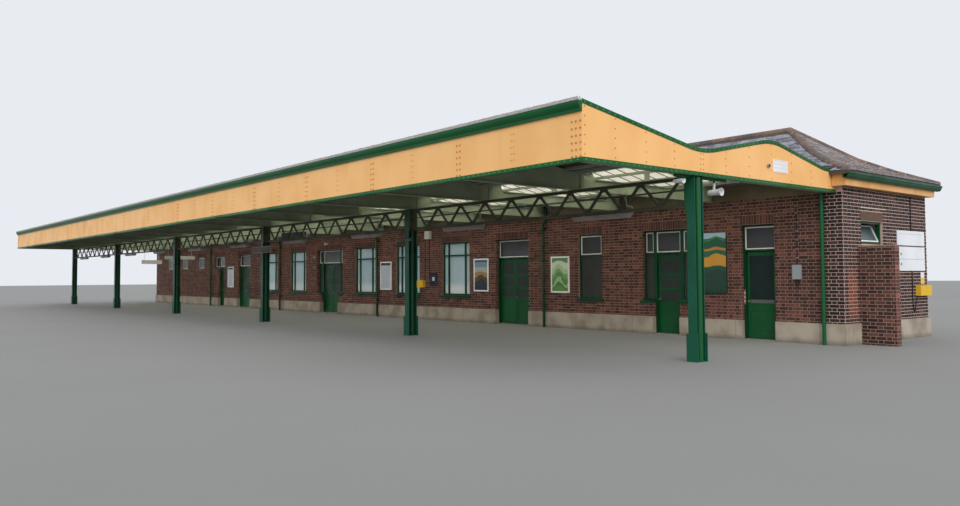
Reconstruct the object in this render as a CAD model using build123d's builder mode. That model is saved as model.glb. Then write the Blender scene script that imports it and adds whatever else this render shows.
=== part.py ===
from build123d import *
from math import cos, sin
import os

os.makedirs("parts", exist_ok=True)

# Country railway station at half its real size, in millimetres. A long single-storey brick
# range under a hipped slate roof carries the back of a steel canopy, and six columns carry
# its front over the platform. +X runs along the building, -Y is the track side.

# Plan of the canopy and the brick range
bay = 4420
bay_count = 5
ribs_per_bay = 3
canopy_end = 60
canopy_reach = 3958
brick_end = 75
range_depth = 2120
wall_thick = 172
wall_top = 1715
head_z = 1352
floor_top = 12

# Eaves of the slate roof
slate_out = 135
board_out = 80
gutter_w = 70
soffit_z = 1708
slate_edge_z = 1860
ridge_z = 2600
hip_run = 1305
sprockets = [(0.3, 0.216), (0.55, 0.439)]
slate_drop = 34
tile_r = 50
gutter_top = 1845
gutter_deep = 65

# Low screen wall that stands out from the near end
screen_out = 390
screen_from_front = 320
screen_thick = 108
screen_top = 1075

# Capping that stands out from the front fascia
capping_out = 50

# Places that follow from the plan. The frame's origin is under the middle of the whole.
canopy_len = bay_count * bay + 2 * canopy_end
range_len = canopy_len + 2 * brick_end
eaves_out = board_out + gutter_w
mid = (eaves_out - screen_out) / 2
x_near = mid + range_len / 2
x_far = mid - range_len / 2
fascia_near = mid + canopy_len / 2
fascia_far = mid - canopy_len / 2
y_wall = (capping_out + canopy_reach - range_depth - eaves_out) / 2
y_back = y_wall + range_depth
y_fascia = y_wall - canopy_reach

column_x = [mid + (i - bay_count / 2) * bay for i in range(bay_count + 1)]
rib_pitch = bay / ribs_per_bay
rib_count = bay_count * ribs_per_bay + 1
rib_x = [column_x[0] + i * rib_pitch for i in range(rib_count)]

# Section through the canopy roof: distance back from the fascia, and height. The glazed
# slopes behind the valley are set out from the wall.
front_z = 2125
valley_start = 1450
valley_end = 1650
valley_z = 1888
crest_from_wall = 1258
crest_z = 2096
foot_from_wall = 223
foot_z = 1893
crest_y = canopy_reach - crest_from_wall
foot_y = canopy_reach - foot_from_wall
section = [
    (0, front_z),
    (valley_start, valley_z),
    (valley_end, valley_z),
    (crest_y, crest_z),
    (foot_y, foot_z),
    (canopy_reach, foot_z),
]
crest_round = 1000
steel_z = 1645
plate = 5
coping_h = 18
deck_drop = 20
deck_thick = 12
purlin_deep = 28
rib_drop = deck_drop + deck_thick + purlin_deep

# Columns and girders
column_y = y_fascia + 1510
column_w = 89
column_deep = 125
flange_t = 8
web_t = 7
foot_plate_w = 118
foot_plate_h = 250
foot_plate_t = 12
rain_pipe_r = 25
collar_t = 4
collar_z = 905
girder_z = 1370
chord_h = 29
chord_deep = 46
rail_z = 1521
rail_h = 13
brace_w = 26
brace_t = 10
panel_count = 9
brace_start = 145
pipe_gap = 1

# Openings of the front wall, set out from the near corner: centre of the door, width of
# its frame, leaves, width of the lights on its far and near sides, and their foot
doorways = {
    "near": (1020, 440, 1, 0, 0, 0),
    "side": (2329, 425, 1, 175, 175, 400),
    "waiting": (5297, 775, 2, 0, 0, 0),
    "hall": (11117, 750, 2, 180, 180, 400),
    "office": (15542, 775, 2, 0, 0, 0),
    "far": (17011, 460, 1, 315, 0, 1015),
}
window_foot = 400
window_w = 760
window_from_near = [6742, 8189, 9682, 12562, 14012]
narrow_w = 440
narrow_from_near = 3645
high_foot = 1015
high_w = 525
high_from_near = [18527, 19827, 21077]

# End wall window, set out from the front corner
end_window_w = 525
end_window_foot = 1095
end_window_from_front = 670

# Frames, sashes and leaves
frame_w = 25
frame_deep = 50
window_recess = 25
door_recess = 57
mullion_in = 150
transom_z = 1110
fanlight_foot = 1062
sash_w = 14
sash_deep = 20
glass_t = 3
sill_h = 45
sill_out = 22
sill_horn = 28
leaf_gap = 6
leaf_t = 22
leaf_top = 1034
pin_r = 3
knuckle_r = 6
pin_gap = 0.3
hinge_h = 50
hinge_heights = [180, 850]

# Plinth round the foot of the walls
plinth_top = 229
plinth_out = 22


def block(x, y, z, mode=Mode.ADD):
    """Box between pairs of low and high coordinates."""
    with Locations(((x[0] + x[1]) / 2, (y[0] + y[1]) / 2, (z[0] + z[1]) / 2)):
        Box(x[1] - x[0], y[1] - y[0], z[1] - z[0], mode=mode)


def pane(u, w, z, mode=Mode.ADD):
    """Upright rectangle in a wall's own plane, by its centre, width, and low and high edges."""
    with Locations((u, (z[0] + z[1]) / 2)):
        Rectangle(w, z[1] - z[0], mode=mode)


def from_near(distance):
    """Place along the wall, measured from the near corner."""
    return x_near - distance


def canopy_z(y):
    """Height of the canopy's section line at a distance behind the fascia."""
    for (y0, z0), (y1, z1) in zip(section, section[1:]):
        if y <= y1:
            return z0 + (z1 - z0) * (y - y0) / (y1 - y0)
    return foot_z


def band(y0, y1, top, bottom):
    """Face between two lines that lie a drop below the canopy's section line."""
    steps = [y0] + [y for y, z in section if y0 < y < y1] + [y1]
    upper = [(y_fascia + y, canopy_z(y) - top) for y in steps]
    lower = [(y_fascia + y, canopy_z(y) - bottom) for y in reversed(steps)]
    Polygon(*upper, *lower, align=None)


def section_points(drop):
    """The corners of the canopy's section line, less a drop."""
    return [(y_fascia + y, z - drop) for y, z in section]


def save(name, part):
    """Label one node and write it to its own file."""
    part.part.label = name
    export_step(part.part, f"parts/{name}.step")


# Front wall: stretches between the doorways, each with its window openings, and the low
# walls under the side lights
wall_ends = [x_far]
for door in reversed(doorways.values()):
    distance, width, leaves, far_light, near_light, foot = door
    centre = from_near(distance)
    wall_ends += [centre - width / 2, centre + width / 2]
wall_ends.append(x_near)

with BuildPart() as front_wall:
    for low, high in zip(wall_ends[::2], wall_ends[1::2]):
        with BuildSketch(Plane.XZ.offset(-y_wall)):
            pane((low + high) / 2, high - low, (0, wall_top))
            for door in doorways.values():
                distance, width, leaves, far_light, near_light, foot = door
                centre = from_near(distance)
                far_edge = centre - width / 2
                near_edge = centre + width / 2
                if far_light and abs(high - far_edge) < 1:
                    pane(far_edge - far_light / 2, far_light, (foot, head_z), Mode.SUBTRACT)
                if near_light and abs(low - near_edge) < 1:
                    pane(near_edge + near_light / 2, near_light, (foot, head_z), Mode.SUBTRACT)
            for distance in window_from_near:
                if low < from_near(distance) < high:
                    pane(from_near(distance), window_w, (window_foot, head_z), Mode.SUBTRACT)
            for distance in high_from_near:
                if low < from_near(distance) < high:
                    pane(from_near(distance), high_w, (high_foot, head_z), Mode.SUBTRACT)
            if low < from_near(narrow_from_near) < high:
                pane(from_near(narrow_from_near), narrow_w, (window_foot, head_z), Mode.SUBTRACT)
        extrude(amount=-wall_thick)
save("front_wall", front_wall)

# Brick heads over the doorways, each with a soldier course at its foot
with BuildPart() as door_heads:
    for door in doorways.values():
        distance, width, leaves, far_light, near_light, foot = door
        centre = from_near(distance)
        block(
            (centre - width / 2, centre + width / 2),
            (y_wall, y_wall + wall_thick),
            (head_z, wall_top),
        )
save("door_heads", door_heads)

# End walls between the front and rear walls, each with one high window
with BuildPart() as end_walls:
    for x, inward in ((x_near, -wall_thick), (x_far, wall_thick)):
        with BuildSketch(Plane.YZ.offset(x)):
            inner = (y_wall + wall_thick, y_back - wall_thick)
            pane(sum(inner) / 2, inner[1] - inner[0], (0, wall_top))
            pane(
                y_wall + end_window_from_front,
                end_window_w,
                (end_window_foot, head_z),
                Mode.SUBTRACT,
            )
        extrude(amount=inward)
save("end_walls", end_walls)

# Rear wall with two plain windows to a bay
rear_window_x = [mid + (i + 0.5 - bay_count) * bay / 2 for i in range(2 * bay_count)]
with BuildPart() as rear_wall:
    with BuildSketch(Plane.XZ.offset(-y_back)):
        pane(mid, range_len, (0, wall_top))
        for x in rear_window_x:
            pane(x, window_w, (window_foot, head_z), Mode.SUBTRACT)
    extrude(amount=wall_thick)
save("rear_wall", rear_wall)

# Rendered plinth on the outer faces, broken at the doorways and at the screen wall
screen_y = y_wall + screen_from_front
with BuildPart() as plinths:
    for low, high in zip(wall_ends[::2], wall_ends[1::2]):
        block((low, high), (y_wall - plinth_out, y_wall), (0, plinth_top))
    for low, high in (
        (y_wall - plinth_out, screen_y),
        (screen_y + screen_thick, y_back + plinth_out),
    ):
        block((x_near, x_near + plinth_out), (low, high), (0, plinth_top))
    block((x_far, x_near), (y_back, y_back + plinth_out), (0, plinth_top))
    block(
        (x_far - plinth_out, x_far),
        (y_wall - plinth_out, y_back + plinth_out),
        (0, plinth_top),
    )
save("plinths", plinths)

# Floor inside the walls, carried out under each doorway as its threshold
with BuildPart() as floor_slab:
    block(
        (x_far + wall_thick, x_near - wall_thick),
        (y_wall + wall_thick, y_back - wall_thick),
        (0, floor_top),
    )
    for door in doorways.values():
        centre = from_near(door[0])
        block(
            (centre - door[1] / 2, centre + door[1] / 2),
            (y_wall, y_wall + wall_thick),
            (0, floor_top),
        )
save("floor_slab", floor_slab)

# Screen wall, nine inches of brick
with BuildPart() as screen_wall:
    block((x_near, x_near + screen_out), (screen_y, screen_y + screen_thick), (0, screen_top))
    chamfer(screen_wall.edges().group_by(Axis.Z)[-1].filter_by(Axis.X), length=12)
save("screen_wall", screen_wall)


def glazed_ring(u, w, z, edge):
    """Rectangular frame in a wall's plane."""
    pane(u, w, z)
    pane(u, w - 2 * edge, (z[0] + edge, z[1] - edge), Mode.SUBTRACT)


# Window openings: centre along the wall, width, foot and the y of the frame's front face
front_frame_y = y_wall + window_recess
rear_frame_y = y_back - window_recess - frame_deep
wide_windows = {
    front_frame_y: [from_near(distance) for distance in window_from_near],
    rear_frame_y: rear_window_x,
}
frame_foot = window_foot + sill_h
narrow_x = from_near(narrow_from_near)
high_x = [from_near(d) for d in high_from_near]
end_window_y = y_wall + end_window_from_front
end_frames = [
    (x_near - window_recess, -frame_deep),
    (x_far + window_recess, frame_deep),
]

light_heights = [
    (frame_foot + frame_w, transom_z),
    (transom_z + frame_w, head_z - frame_w),
]


def window_lights(x):
    """Low and high x of the three lights of a wide window."""
    edge = window_w / 2 - frame_w
    inner = window_w / 2 - mullion_in
    half = frame_w / 2
    return [
        (x - edge, x - inner - half),
        (x - inner + half, x + inner - half),
        (x + inner + half, x + edge),
    ]


# Green timber window frames with their mullions and transoms
with BuildPart() as window_frames:
    for y, centres in wide_windows.items():
        with BuildSketch(Plane.XZ.offset(-y)):
            for x in centres:
                pane(x, window_w, (frame_foot, head_z))
                for low, high in window_lights(x):
                    for z in light_heights:
                        pane((low + high) / 2, high - low, z, Mode.SUBTRACT)
        extrude(amount=-frame_deep)
    with BuildSketch(Plane.XZ.offset(-front_frame_y)):
        glazed_ring(narrow_x, narrow_w, (frame_foot, head_z), frame_w)
        pane(narrow_x, narrow_w - frame_w, (fanlight_foot - frame_w, fanlight_foot))
        for x in high_x:
            glazed_ring(x, high_w, (high_foot, head_z), frame_w)
    extrude(amount=-frame_deep)
    for x, depth in end_frames:
        with BuildSketch(Plane.YZ.offset(x)):
            glazed_ring(end_window_y, end_window_w, (end_window_foot, head_z), frame_w)
        extrude(amount=depth)
save("window_frames", window_frames)

# Timber sills, each with a weathered top and horns past the opening
with BuildPart() as window_sills:
    sill_spans = [(x, window_w, y_wall, 1) for x in (from_near(d) for d in window_from_near)]
    sill_spans += [(x, window_w, y_back, -1) for x in rear_window_x]
    sill_spans.append((narrow_x, narrow_w, y_wall, 1))
    for door in doorways.values():
        distance, width, leaves, far_light, near_light, foot = door
        centre = from_near(distance)
        if foot == window_foot:
            far_x = centre - width / 2 - far_light / 2
            near_x = centre + width / 2 + near_light / 2
            sill_spans.append((far_x, far_light, y_wall, 1))
            sill_spans.append((near_x, near_light, y_wall, 1))
    for x, width, y, inward in sill_spans:
        back = y + inward * (window_recess + frame_deep)
        seat = y + inward * window_recess
        nose = y - inward * sill_out
        for low, half in ((y, width / 2), (nose, width / 2 + sill_horn)):
            with BuildSketch(Plane.YZ.offset(x - half)):
                if low == y:
                    Polygon(
                        (y, window_foot),
                        (back, window_foot),
                        (back, window_foot + sill_h),
                        (seat, window_foot + sill_h),
                        (y, window_foot + sill_h - 6),
                        align=None,
                    )
                else:
                    Polygon(
                        (nose, window_foot),
                        (y, window_foot),
                        (y, window_foot + sill_h - 6),
                        (nose, window_foot + sill_h - 12),
                        align=None,
                    )
            extrude(amount=2 * half)
save("window_sills", window_sills)


def door_parts(door):
    """Outer faces of a door frame: the doorway itself and its side lights."""
    distance, width, leaves, far_light, near_light, foot = door
    centre = from_near(distance)
    light_foot = foot + sill_h if foot == window_foot else foot
    parts = [(centre, width, floor_top)]
    if far_light:
        parts.append((centre - width / 2 - far_light / 2, far_light, light_foot))
    if near_light:
        parts.append((centre + width / 2 + near_light / 2, near_light, light_foot))
    return parts


door_y = y_wall + door_recess

# Green door frames with a fanlight over each door and side lights where there are any
with BuildPart() as door_frames:
    for door in doorways.values():
        with BuildSketch(Plane.XZ.offset(-door_y)):
            centre, width, foot = door_parts(door)[0]
            pane(centre, width, (foot, head_z))
            pane(centre, width - 2 * frame_w, (foot, fanlight_foot - frame_w + 3), Mode.SUBTRACT)
            pane(centre, width - 2 * frame_w, (fanlight_foot, head_z - frame_w), Mode.SUBTRACT)
            for x, light_w, light_foot in door_parts(door)[1:]:
                glazed_ring(x, light_w, (light_foot, head_z), frame_w)
                if light_foot < fanlight_foot - 2 * frame_w:
                    pane(x, light_w - frame_w, (fanlight_foot - frame_w, fanlight_foot))
        extrude(amount=-frame_deep)
save("door_frames", door_frames)

# White sashes in the fanlights, the narrow window and the high windows
fanlight_holes = []
for door in doorways.values():
    for x, width, foot in door_parts(door):
        low = max(foot + frame_w, fanlight_foot) if foot >= fanlight_foot - 2 * frame_w else fanlight_foot
        fanlight_holes.append((x, width - 2 * frame_w, (low, head_z - frame_w), door_y))
fanlight_holes.append(
    (narrow_x, narrow_w - 2 * frame_w, (fanlight_foot, head_z - frame_w), front_frame_y)
)
for x in high_x:
    fanlight_holes.append(
        (x, high_w - 2 * frame_w, (high_foot + frame_w, head_z - frame_w), front_frame_y)
    )

# The sash of the near end window stands open: its head leans inwards
hopper_lean = 24
hopper_h = head_z - end_window_foot - 2 * frame_w


def hopper_plane(depth):
    """Outer face of the open sash, or a plane that lies a depth behind it."""
    lean = hopper_lean * 3.14159265 / 180
    out, up = Vector(cos(lean), 0, sin(lean)), sash_deep * sin(lean)
    foot = Vector(x_near - window_recess - 8, end_window_y, end_window_foot + frame_w + up)
    return Plane(foot - out * depth, x_dir=(0, 1, 0), z_dir=out)


with BuildPart() as white_sashes:
    for x, width, z, y in fanlight_holes:
        with BuildSketch(Plane.XZ.offset(-(y + 8))):
            glazed_ring(x, width, z, sash_w)
        extrude(amount=-sash_deep)
    far_hole = (end_window_foot + frame_w, head_z - frame_w)
    with BuildSketch(Plane.YZ.offset(x_far + window_recess + 8)):
        glazed_ring(end_window_y, end_window_w - 2 * frame_w, far_hole, sash_w)
    extrude(amount=sash_deep)
    with BuildSketch(hopper_plane(0)):
        glazed_ring(0, end_window_w - 2 * frame_w, (0, hopper_h), sash_w)
    extrude(amount=-sash_deep)
save("white_sashes", white_sashes)

# Panes: one to a sash, and one sheet behind the mullions of each wide window
with BuildPart() as window_glass:
    for x, width, z, y in fanlight_holes:
        with BuildSketch(Plane.XZ.offset(-(y + 16))):
            pane(x, width - 2 * sash_w, (z[0] + sash_w, z[1] - sash_w))
        extrude(amount=-glass_t)
    edge = frame_w + sash_w
    with BuildSketch(Plane.YZ.offset(x_far + window_recess + 16)):
        pane(end_window_y, end_window_w - 2 * edge, (end_window_foot + edge, head_z - edge))
    extrude(amount=glass_t)
    with BuildSketch(hopper_plane(8)):
        pane(0, end_window_w - 2 * edge, (sash_w, hopper_h - sash_w))
    extrude(amount=-glass_t)
    for y, centres in wide_windows.items():
        with BuildSketch(Plane.XZ.offset(-(y + frame_deep / 2))):
            for x in centres:
                for low, high in window_lights(x):
                    for z in light_heights:
                        pane((low + high) / 2, high - low, z)
        extrude(amount=-glass_t)
save("window_glass", window_glass)

# Dark boards that close the side lights and the narrow window below their fanlights
with BuildPart() as light_boards:
    board_holes = [(narrow_x, narrow_w, frame_foot, front_frame_y)]
    for door in doorways.values():
        for x, width, foot in door_parts(door)[1:]:
            if foot < fanlight_foot - 2 * frame_w:
                board_holes.append((x, width, foot, door_y))
    for x, width, foot, y in board_holes:
        with BuildSketch(Plane.XZ.offset(-(y + 14))):
            pane(x, width - 2 * frame_w, (foot + frame_w, fanlight_foot - frame_w))
        extrude(amount=-8)
save("light_boards", light_boards)


def leaf_spans(door):
    """Low and high x of each leaf of a doorway, and the side its hinges are on."""
    distance, width, leaves, far_light, near_light, foot = door
    centre = from_near(distance)
    low = centre - width / 2 + frame_w + leaf_gap
    high = centre + width / 2 - frame_w - leaf_gap
    if leaves == 1:
        return [(low, high, 1)]
    return [(low, centre - leaf_gap / 2, -1), (centre + leaf_gap / 2, high, 1)]


leaf_back = door_y + frame_deep
leaf_foot = floor_top + leaf_gap
pin_y = leaf_back + knuckle_r + 1


def pin_x(span):
    """The hinge line stands in the middle of the gap between leaf and frame."""
    return span[1] + leaf_gap / 2 if span[2] > 0 else span[0] - leaf_gap / 2


def make_leaf(name, span, glazed):
    """Framed door leaf with sunk panels, and the hinge knuckles that turn with it."""
    low, high, hinge = span
    stile = 34
    width = high - low
    panels = [(790, 985), (600, 755), (430, 565)] if glazed == "three" else [(430, 985)]
    with BuildPart() as leaf:
        block((low, high), (leaf_back - leaf_t, leaf_back), (leaf_foot, leaf_top))
        for bottom, top in panels + [(75, 345)]:
            for y in (leaf_back - leaf_t, leaf_back - 6):
                block((low + stile, high - stile), (y, y + 6), (bottom, top), Mode.SUBTRACT)
        for z in hinge_heights:
            middle = z + hinge_h * 0.75
            with BuildSketch(Plane.XY.offset(z + hinge_h / 2)):
                with Locations((pin_x(span), pin_y)):
                    Circle(knuckle_r)
                with Locations(((pin_x(span) + (low if hinge < 0 else high) - hinge * 20) / 2, leaf_back + 2)):
                    Rectangle(abs(pin_x(span) - (low if hinge < 0 else high) + hinge * 20), 4)
                with Locations((pin_x(span), pin_y)):
                    Circle(pin_r + pin_gap, mode=Mode.SUBTRACT)
            extrude(amount=hinge_h / 2)
    save(name, leaf)
    return leaf


# Door leaves. The single leaves hang on the near jamb; the pairs meet in the middle.
leaf_names = {
    "near": ["near_door"],
    "side": ["side_door"],
    "waiting": ["waiting_door_far", "waiting_door_near"],
    "hall": ["hall_door_far", "hall_door_near"],
    "office": ["office_door_far", "office_door_near"],
    "far": ["far_door"],
}
for key, names in leaf_names.items():
    for name, span in zip(names, leaf_spans(doorways[key])):
        make_leaf(name, span, "one" if key in ("near", "far") else "three")

# Hinge pins, each on a flap that is screwed to the back of the frame
with BuildPart() as door_hinges:
    for key in leaf_names:
        for low, high, hinge in leaf_spans(doorways[key]):
            span = (low, high, hinge)
            edge = high if hinge > 0 else low
            for z in hinge_heights:
                with BuildSketch(Plane.XY.offset(z)):
                    with Locations((pin_x(span), pin_y)):
                        Circle(knuckle_r)
                    inner = pin_x(span)
                    outer = edge + hinge * (leaf_gap + 18)
                    with Locations(((inner + outer) / 2, leaf_back + 2)):
                        Rectangle(abs(outer - inner), 4)
                extrude(amount=hinge_h / 2 - pin_gap)
                with Locations((pin_x(span), pin_y, z)):
                    Cylinder(pin_r, hinge_h, align=(Align.CENTER, Align.CENTER, Align.MIN))
save("door_hinges", door_hinges)

# Columns: rolled H sections with their webs square to the platform
with BuildPart() as columns:
    with BuildSketch():
        for x in column_x:
            with Locations((x, column_y)):
                Rectangle(column_w, column_deep)
            for side in (-1, 1):
                with Locations((x + side * (column_w + web_t) / 4, column_y)):
                    Rectangle(
                        (column_w - web_t) / 2,
                        column_deep - 2 * flange_t,
                        mode=Mode.SUBTRACT,
                    )
    extrude(amount=steel_z)
save("columns", columns)

# Cover plates round the feet of the flanges
with BuildPart() as foot_plates:
    for x in column_x:
        for side in (-1, 1):
            y = column_y + side * (column_deep / 2 + foot_plate_t / 2)
            with Locations((x, y, foot_plate_h / 2)):
                Box(foot_plate_w, foot_plate_t, foot_plate_h)
save("foot_plates", foot_plates)

# Rainwater pipes in the column webs, each held off the web by two collars
pipe_x = web_t / 2 + collar_t + rain_pipe_r
with BuildPart() as rain_pipes:
    for low, high, radius in (
        (0, steel_z - 15, rain_pipe_r),
        (foot_plate_h, foot_plate_h + 16, rain_pipe_r + collar_t),
        (collar_z, collar_z + 16, rain_pipe_r + collar_t),
    ):
        with BuildSketch(Plane.XY.offset(low)):
            for x in column_x:
                with Locations((x + pipe_x, column_y)):
                    Circle(radius)
        extrude(amount=high - low)
    with BuildSketch():
        for x in column_x:
            with Locations((x + pipe_x, column_y)):
                Circle(rain_pipe_r - 3)
    extrude(amount=steel_z, mode=Mode.SUBTRACT)
save("rain_pipes", rain_pipes)

# Lattice girders between the columns: two chords, a rail between them and a zigzag of flats.
# The near end of each column is taken up by its rain pipe, so the girder there ends in a
# plate with two cleats that reach back to the flanges.
pipe_out = pipe_x + rain_pipe_r
panel = (bay - 2 * brace_start) / panel_count
brace_low = girder_z + chord_h / 2
brace_high = steel_z - chord_h / 2
brace_rise = brace_high - brace_low
brace_half = brace_w / 2 * ((panel / 2) ** 2 + brace_rise**2) ** 0.5 / brace_rise
with BuildPart() as lattice_girders:
    for x in column_x[:-1]:
        start = x + pipe_out + pipe_gap
        end = x + bay - column_w / 2
        for z, h, deep in (
            (girder_z, chord_h, chord_deep),
            (rail_z, rail_h, chord_deep / 2),
            (steel_z - chord_h, chord_h, chord_deep),
        ):
            block((start, end), (column_y - deep / 2, column_y + deep / 2), (z, z + h))
        block(
            (start, start + plate),
            (column_y - column_deep / 2, column_y + column_deep / 2),
            (girder_z, steel_z),
        )
        for side in (-1, 1):
            y = column_y + side * (column_deep - flange_t) / 2
            block(
                (x + column_w / 2, start),
                (y - flange_t / 2, y + flange_t / 2),
                (girder_z, steel_z),
            )
        with BuildSketch(Plane.XZ.offset(-(column_y + brace_t / 2))):
            for i in range(panel_count):
                left = x + brace_start + i * panel
                for top_x in (left, left + panel):
                    foot_x = left + panel / 2
                    Polygon(
                        (foot_x - brace_half, brace_low),
                        (foot_x + brace_half, brace_low),
                        (top_x + brace_half, brace_high),
                        (top_x - brace_half, brace_high),
                        align=None,
                    )
        extrude(amount=brace_t)
save("lattice_girders", lattice_girders)

# Cross ribs: a plate web with the outline of the roof, and a flange at its foot and head
rib_flange = 60
rib_flange_t = 6
rib_back = canopy_reach - 15
with BuildPart() as canopy_ribs:
    for x in rib_x:
        with BuildSketch(Plane.YZ.offset(x - plate / 2)):
            steps = [plate] + [y for y, z in section if plate < y < rib_back] + [rib_back]
            upper = [(y_fascia + y, canopy_z(y) - rib_drop) for y in steps]
            with BuildLine():
                Polyline(
                    *upper,
                    (y_fascia + rib_back, steel_z),
                    (y_fascia + plate, steel_z),
                    close=True,
                )
            make_face()
        extrude(amount=plate)
        with BuildSketch(Plane.YZ.offset(x - rib_flange / 2)):
            band(plate, rib_back, rib_drop, rib_drop + rib_flange_t)
            with Locations((y_fascia + (plate + rib_back) / 2, steel_z + rib_flange_t / 2)):
                Rectangle(rib_back - plate, rib_flange_t)
        extrude(amount=rib_flange)
save("canopy_ribs", canopy_ribs)

# Bearer along the wall, which carries the backs of the ribs
with BuildPart() as wall_bearer:
    block(
        (fascia_far + plate, fascia_near - plate),
        (y_fascia + rib_back, y_wall),
        (steel_z, foot_z - rib_drop),
    )
save("wall_bearer", wall_bearer)

# Purlins along the roof slopes
purlin_w = 24
purlin_y = [valley_start * f for f in (0.062, 0.359, 0.655, 0.958)]
purlin_y += [valley_end + (crest_y - valley_end) * f for f in (0.067, 0.371, 0.676, 0.957)]
purlin_y += [crest_y + (foot_y - crest_y) * f for f in (0.043, 0.329, 0.638, 0.937)]
with BuildPart() as purlins:
    for y in purlin_y:
        with BuildSketch(Plane.YZ.offset(fascia_far + plate)):
            band(y - purlin_w / 2, y + purlin_w / 2, deck_drop + deck_thick, rib_drop)
        extrude(amount=canopy_len - 2 * plate)
save("purlins", purlins)

# Boarded deck on the slope behind the front fascia
with BuildPart() as front_deck:
    with BuildSketch(Plane.YZ.offset(fascia_far + plate)):
        band(plate, valley_start + 12, deck_drop, deck_drop + deck_thick)
    extrude(amount=canopy_len - 2 * plate)
save("front_deck", front_deck)

# Patent glazing on the two slopes over the platform doors
glass_drop = deck_drop + deck_thick - glass_t
with BuildPart() as canopy_glass:
    for low, high in ((valley_end - 12, crest_y - 6), (crest_y + 6, foot_y + 22)):
        with BuildSketch(Plane.YZ.offset(fascia_far + plate)):
            band(low, high, glass_drop, glass_drop + glass_t)
        extrude(amount=canopy_len - 2 * plate)
save("canopy_glass", canopy_glass)

with BuildPart() as crest_capping:
    with BuildSketch(Plane.YZ.offset(fascia_far + plate)):
        band(crest_y - 45, crest_y + 45, glass_drop - 6, glass_drop)
    extrude(amount=canopy_len - 2 * plate)
save("crest_capping", crest_capping)

# Valley and wall gutters: steel troughs that lie on the ribs
trough_t = 4
with BuildPart() as canopy_gutters:
    for low, high, z in (
        (valley_start, valley_end, valley_z - rib_drop),
        (foot_y + 10, rib_back - 3, foot_z - rib_drop),
    ):
        with BuildSketch(Plane.YZ.offset(fascia_far + plate)):
            with Locations((y_fascia + (low + high) / 2, z + 13)):
                Rectangle(high - low, 26)
            with Locations((y_fascia + (low + high) / 2, z + 13 + trough_t)):
                Rectangle(high - low - 2 * trough_t, 26, mode=Mode.SUBTRACT)
        extrude(amount=canopy_len - 2 * plate)
save("canopy_gutters", canopy_gutters)

# Fascia plates: a straight one over the track side, and one with the roof's curves at
# each end
fascia_top = canopy_z(plate) - coping_h
with BuildPart() as front_fascia:
    block((fascia_far, fascia_near), (y_fascia, y_fascia + plate), (steel_z, fascia_top))
save("front_fascia", front_fascia)

with BuildPart() as end_fascias:
    for x, side in ((fascia_near - plate, 1), (fascia_far, -1)):
        with BuildSketch(Plane.YZ.offset(x)):
            with BuildLine():
                top = FilletPolyline(*section_points(coping_h), radius=crest_round)
                Polyline(
                    top @ 1,
                    (y_wall, steel_z),
                    (y_fascia, steel_z),
                    top @ 0,
                )
            make_face()
            with Locations((y_fascia, (steel_z + front_z) / 2)):
                Rectangle(2 * plate, front_z - steel_z + 20, mode=Mode.SUBTRACT)
        extrude(amount=plate)
save("end_fascias", end_fascias)

# Angles along the foot of the fascias
angle_h = 27
angle_t = 5
angle_w = 40
angle_lap = plate
with BuildPart() as front_angle:
    with BuildSketch(Plane.YZ.offset(fascia_far - angle_t)):
        with BuildLine():
            Polyline(
                (y_fascia - angle_t, steel_z - angle_t),
                (y_fascia + angle_w, steel_z - angle_t),
                (y_fascia + angle_w, steel_z),
                (y_fascia, steel_z),
                (y_fascia, steel_z + angle_h),
                (y_fascia - angle_t, steel_z + angle_h),
                close=True,
            )
        make_face()
    extrude(amount=canopy_len + 2 * angle_t)
save("front_angle", front_angle)

with BuildPart() as end_angles:
    for x, side in ((fascia_near, 1), (fascia_far, -1)):
        leg = angle_lap
        with BuildSketch(Plane.XZ.offset(-(y_fascia + angle_w))):
            with BuildLine():
                Polyline(
                    (x + side * angle_t, steel_z - angle_t),
                    (x - side * leg, steel_z - angle_t),
                    (x - side * leg, steel_z),
                    (x, steel_z),
                    (x, steel_z + angle_h),
                    (x + side * angle_t, steel_z + angle_h),
                    close=True,
                )
            make_face()
        extrude(amount=-(canopy_reach - angle_w))
save("end_angles", end_angles)

# Moulded capping on the front fascia, and the coping that follows each end
capping_h = 108
with BuildPart() as front_capping:
    with BuildSketch(Plane.YZ.offset(fascia_far - angle_t)):
        with BuildLine():
            top = front_z + 10
            low = top - capping_h
            Polyline(
                (y_fascia, low),
                (y_fascia - 16, low),
                (y_fascia - 20, low + 22),
            )
            ThreePointArc(
                (y_fascia - 20, low + 22),
                (y_fascia - 38, low + 45),
                (y_fascia - capping_out + 4, low + 80),
            )
            Polyline(
                (y_fascia - capping_out + 4, low + 80),
                (y_fascia - capping_out, low + 82),
                (y_fascia - capping_out, top),
                (y_fascia - capping_out + 5, top),
                (y_fascia - capping_out + 5, top - 14),
                (y_fascia, top - 14),
                (y_fascia, low),
            )
        make_face()
    extrude(amount=canopy_len + 2 * angle_t)
save("front_capping", front_capping)

coping_w = plate + angle_t
with BuildPart() as end_copings:
    for x in (fascia_near - plate, fascia_far + plate - coping_w):
        with BuildSketch(Plane.YZ.offset(x)):
            with BuildLine():
                top = FilletPolyline(*section_points(0), radius=crest_round)
                bottom = FilletPolyline(*section_points(coping_h), radius=crest_round)
                Line(top @ 0, bottom @ 0)
                Line(top @ 1, bottom @ 1)
            make_face()
        extrude(amount=coping_w)
save("end_copings", end_copings)

# Hipped slate roof: four slopes that meet on mitred hips
y_mid = (y_wall + y_back) / 2
eave_y = range_depth / 2 + slate_out
eave_x = range_len / 2 + slate_out
ridge_x = eave_x - hip_run
notch_x = fascia_near + angle_t + 0.5 - mid


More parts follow.
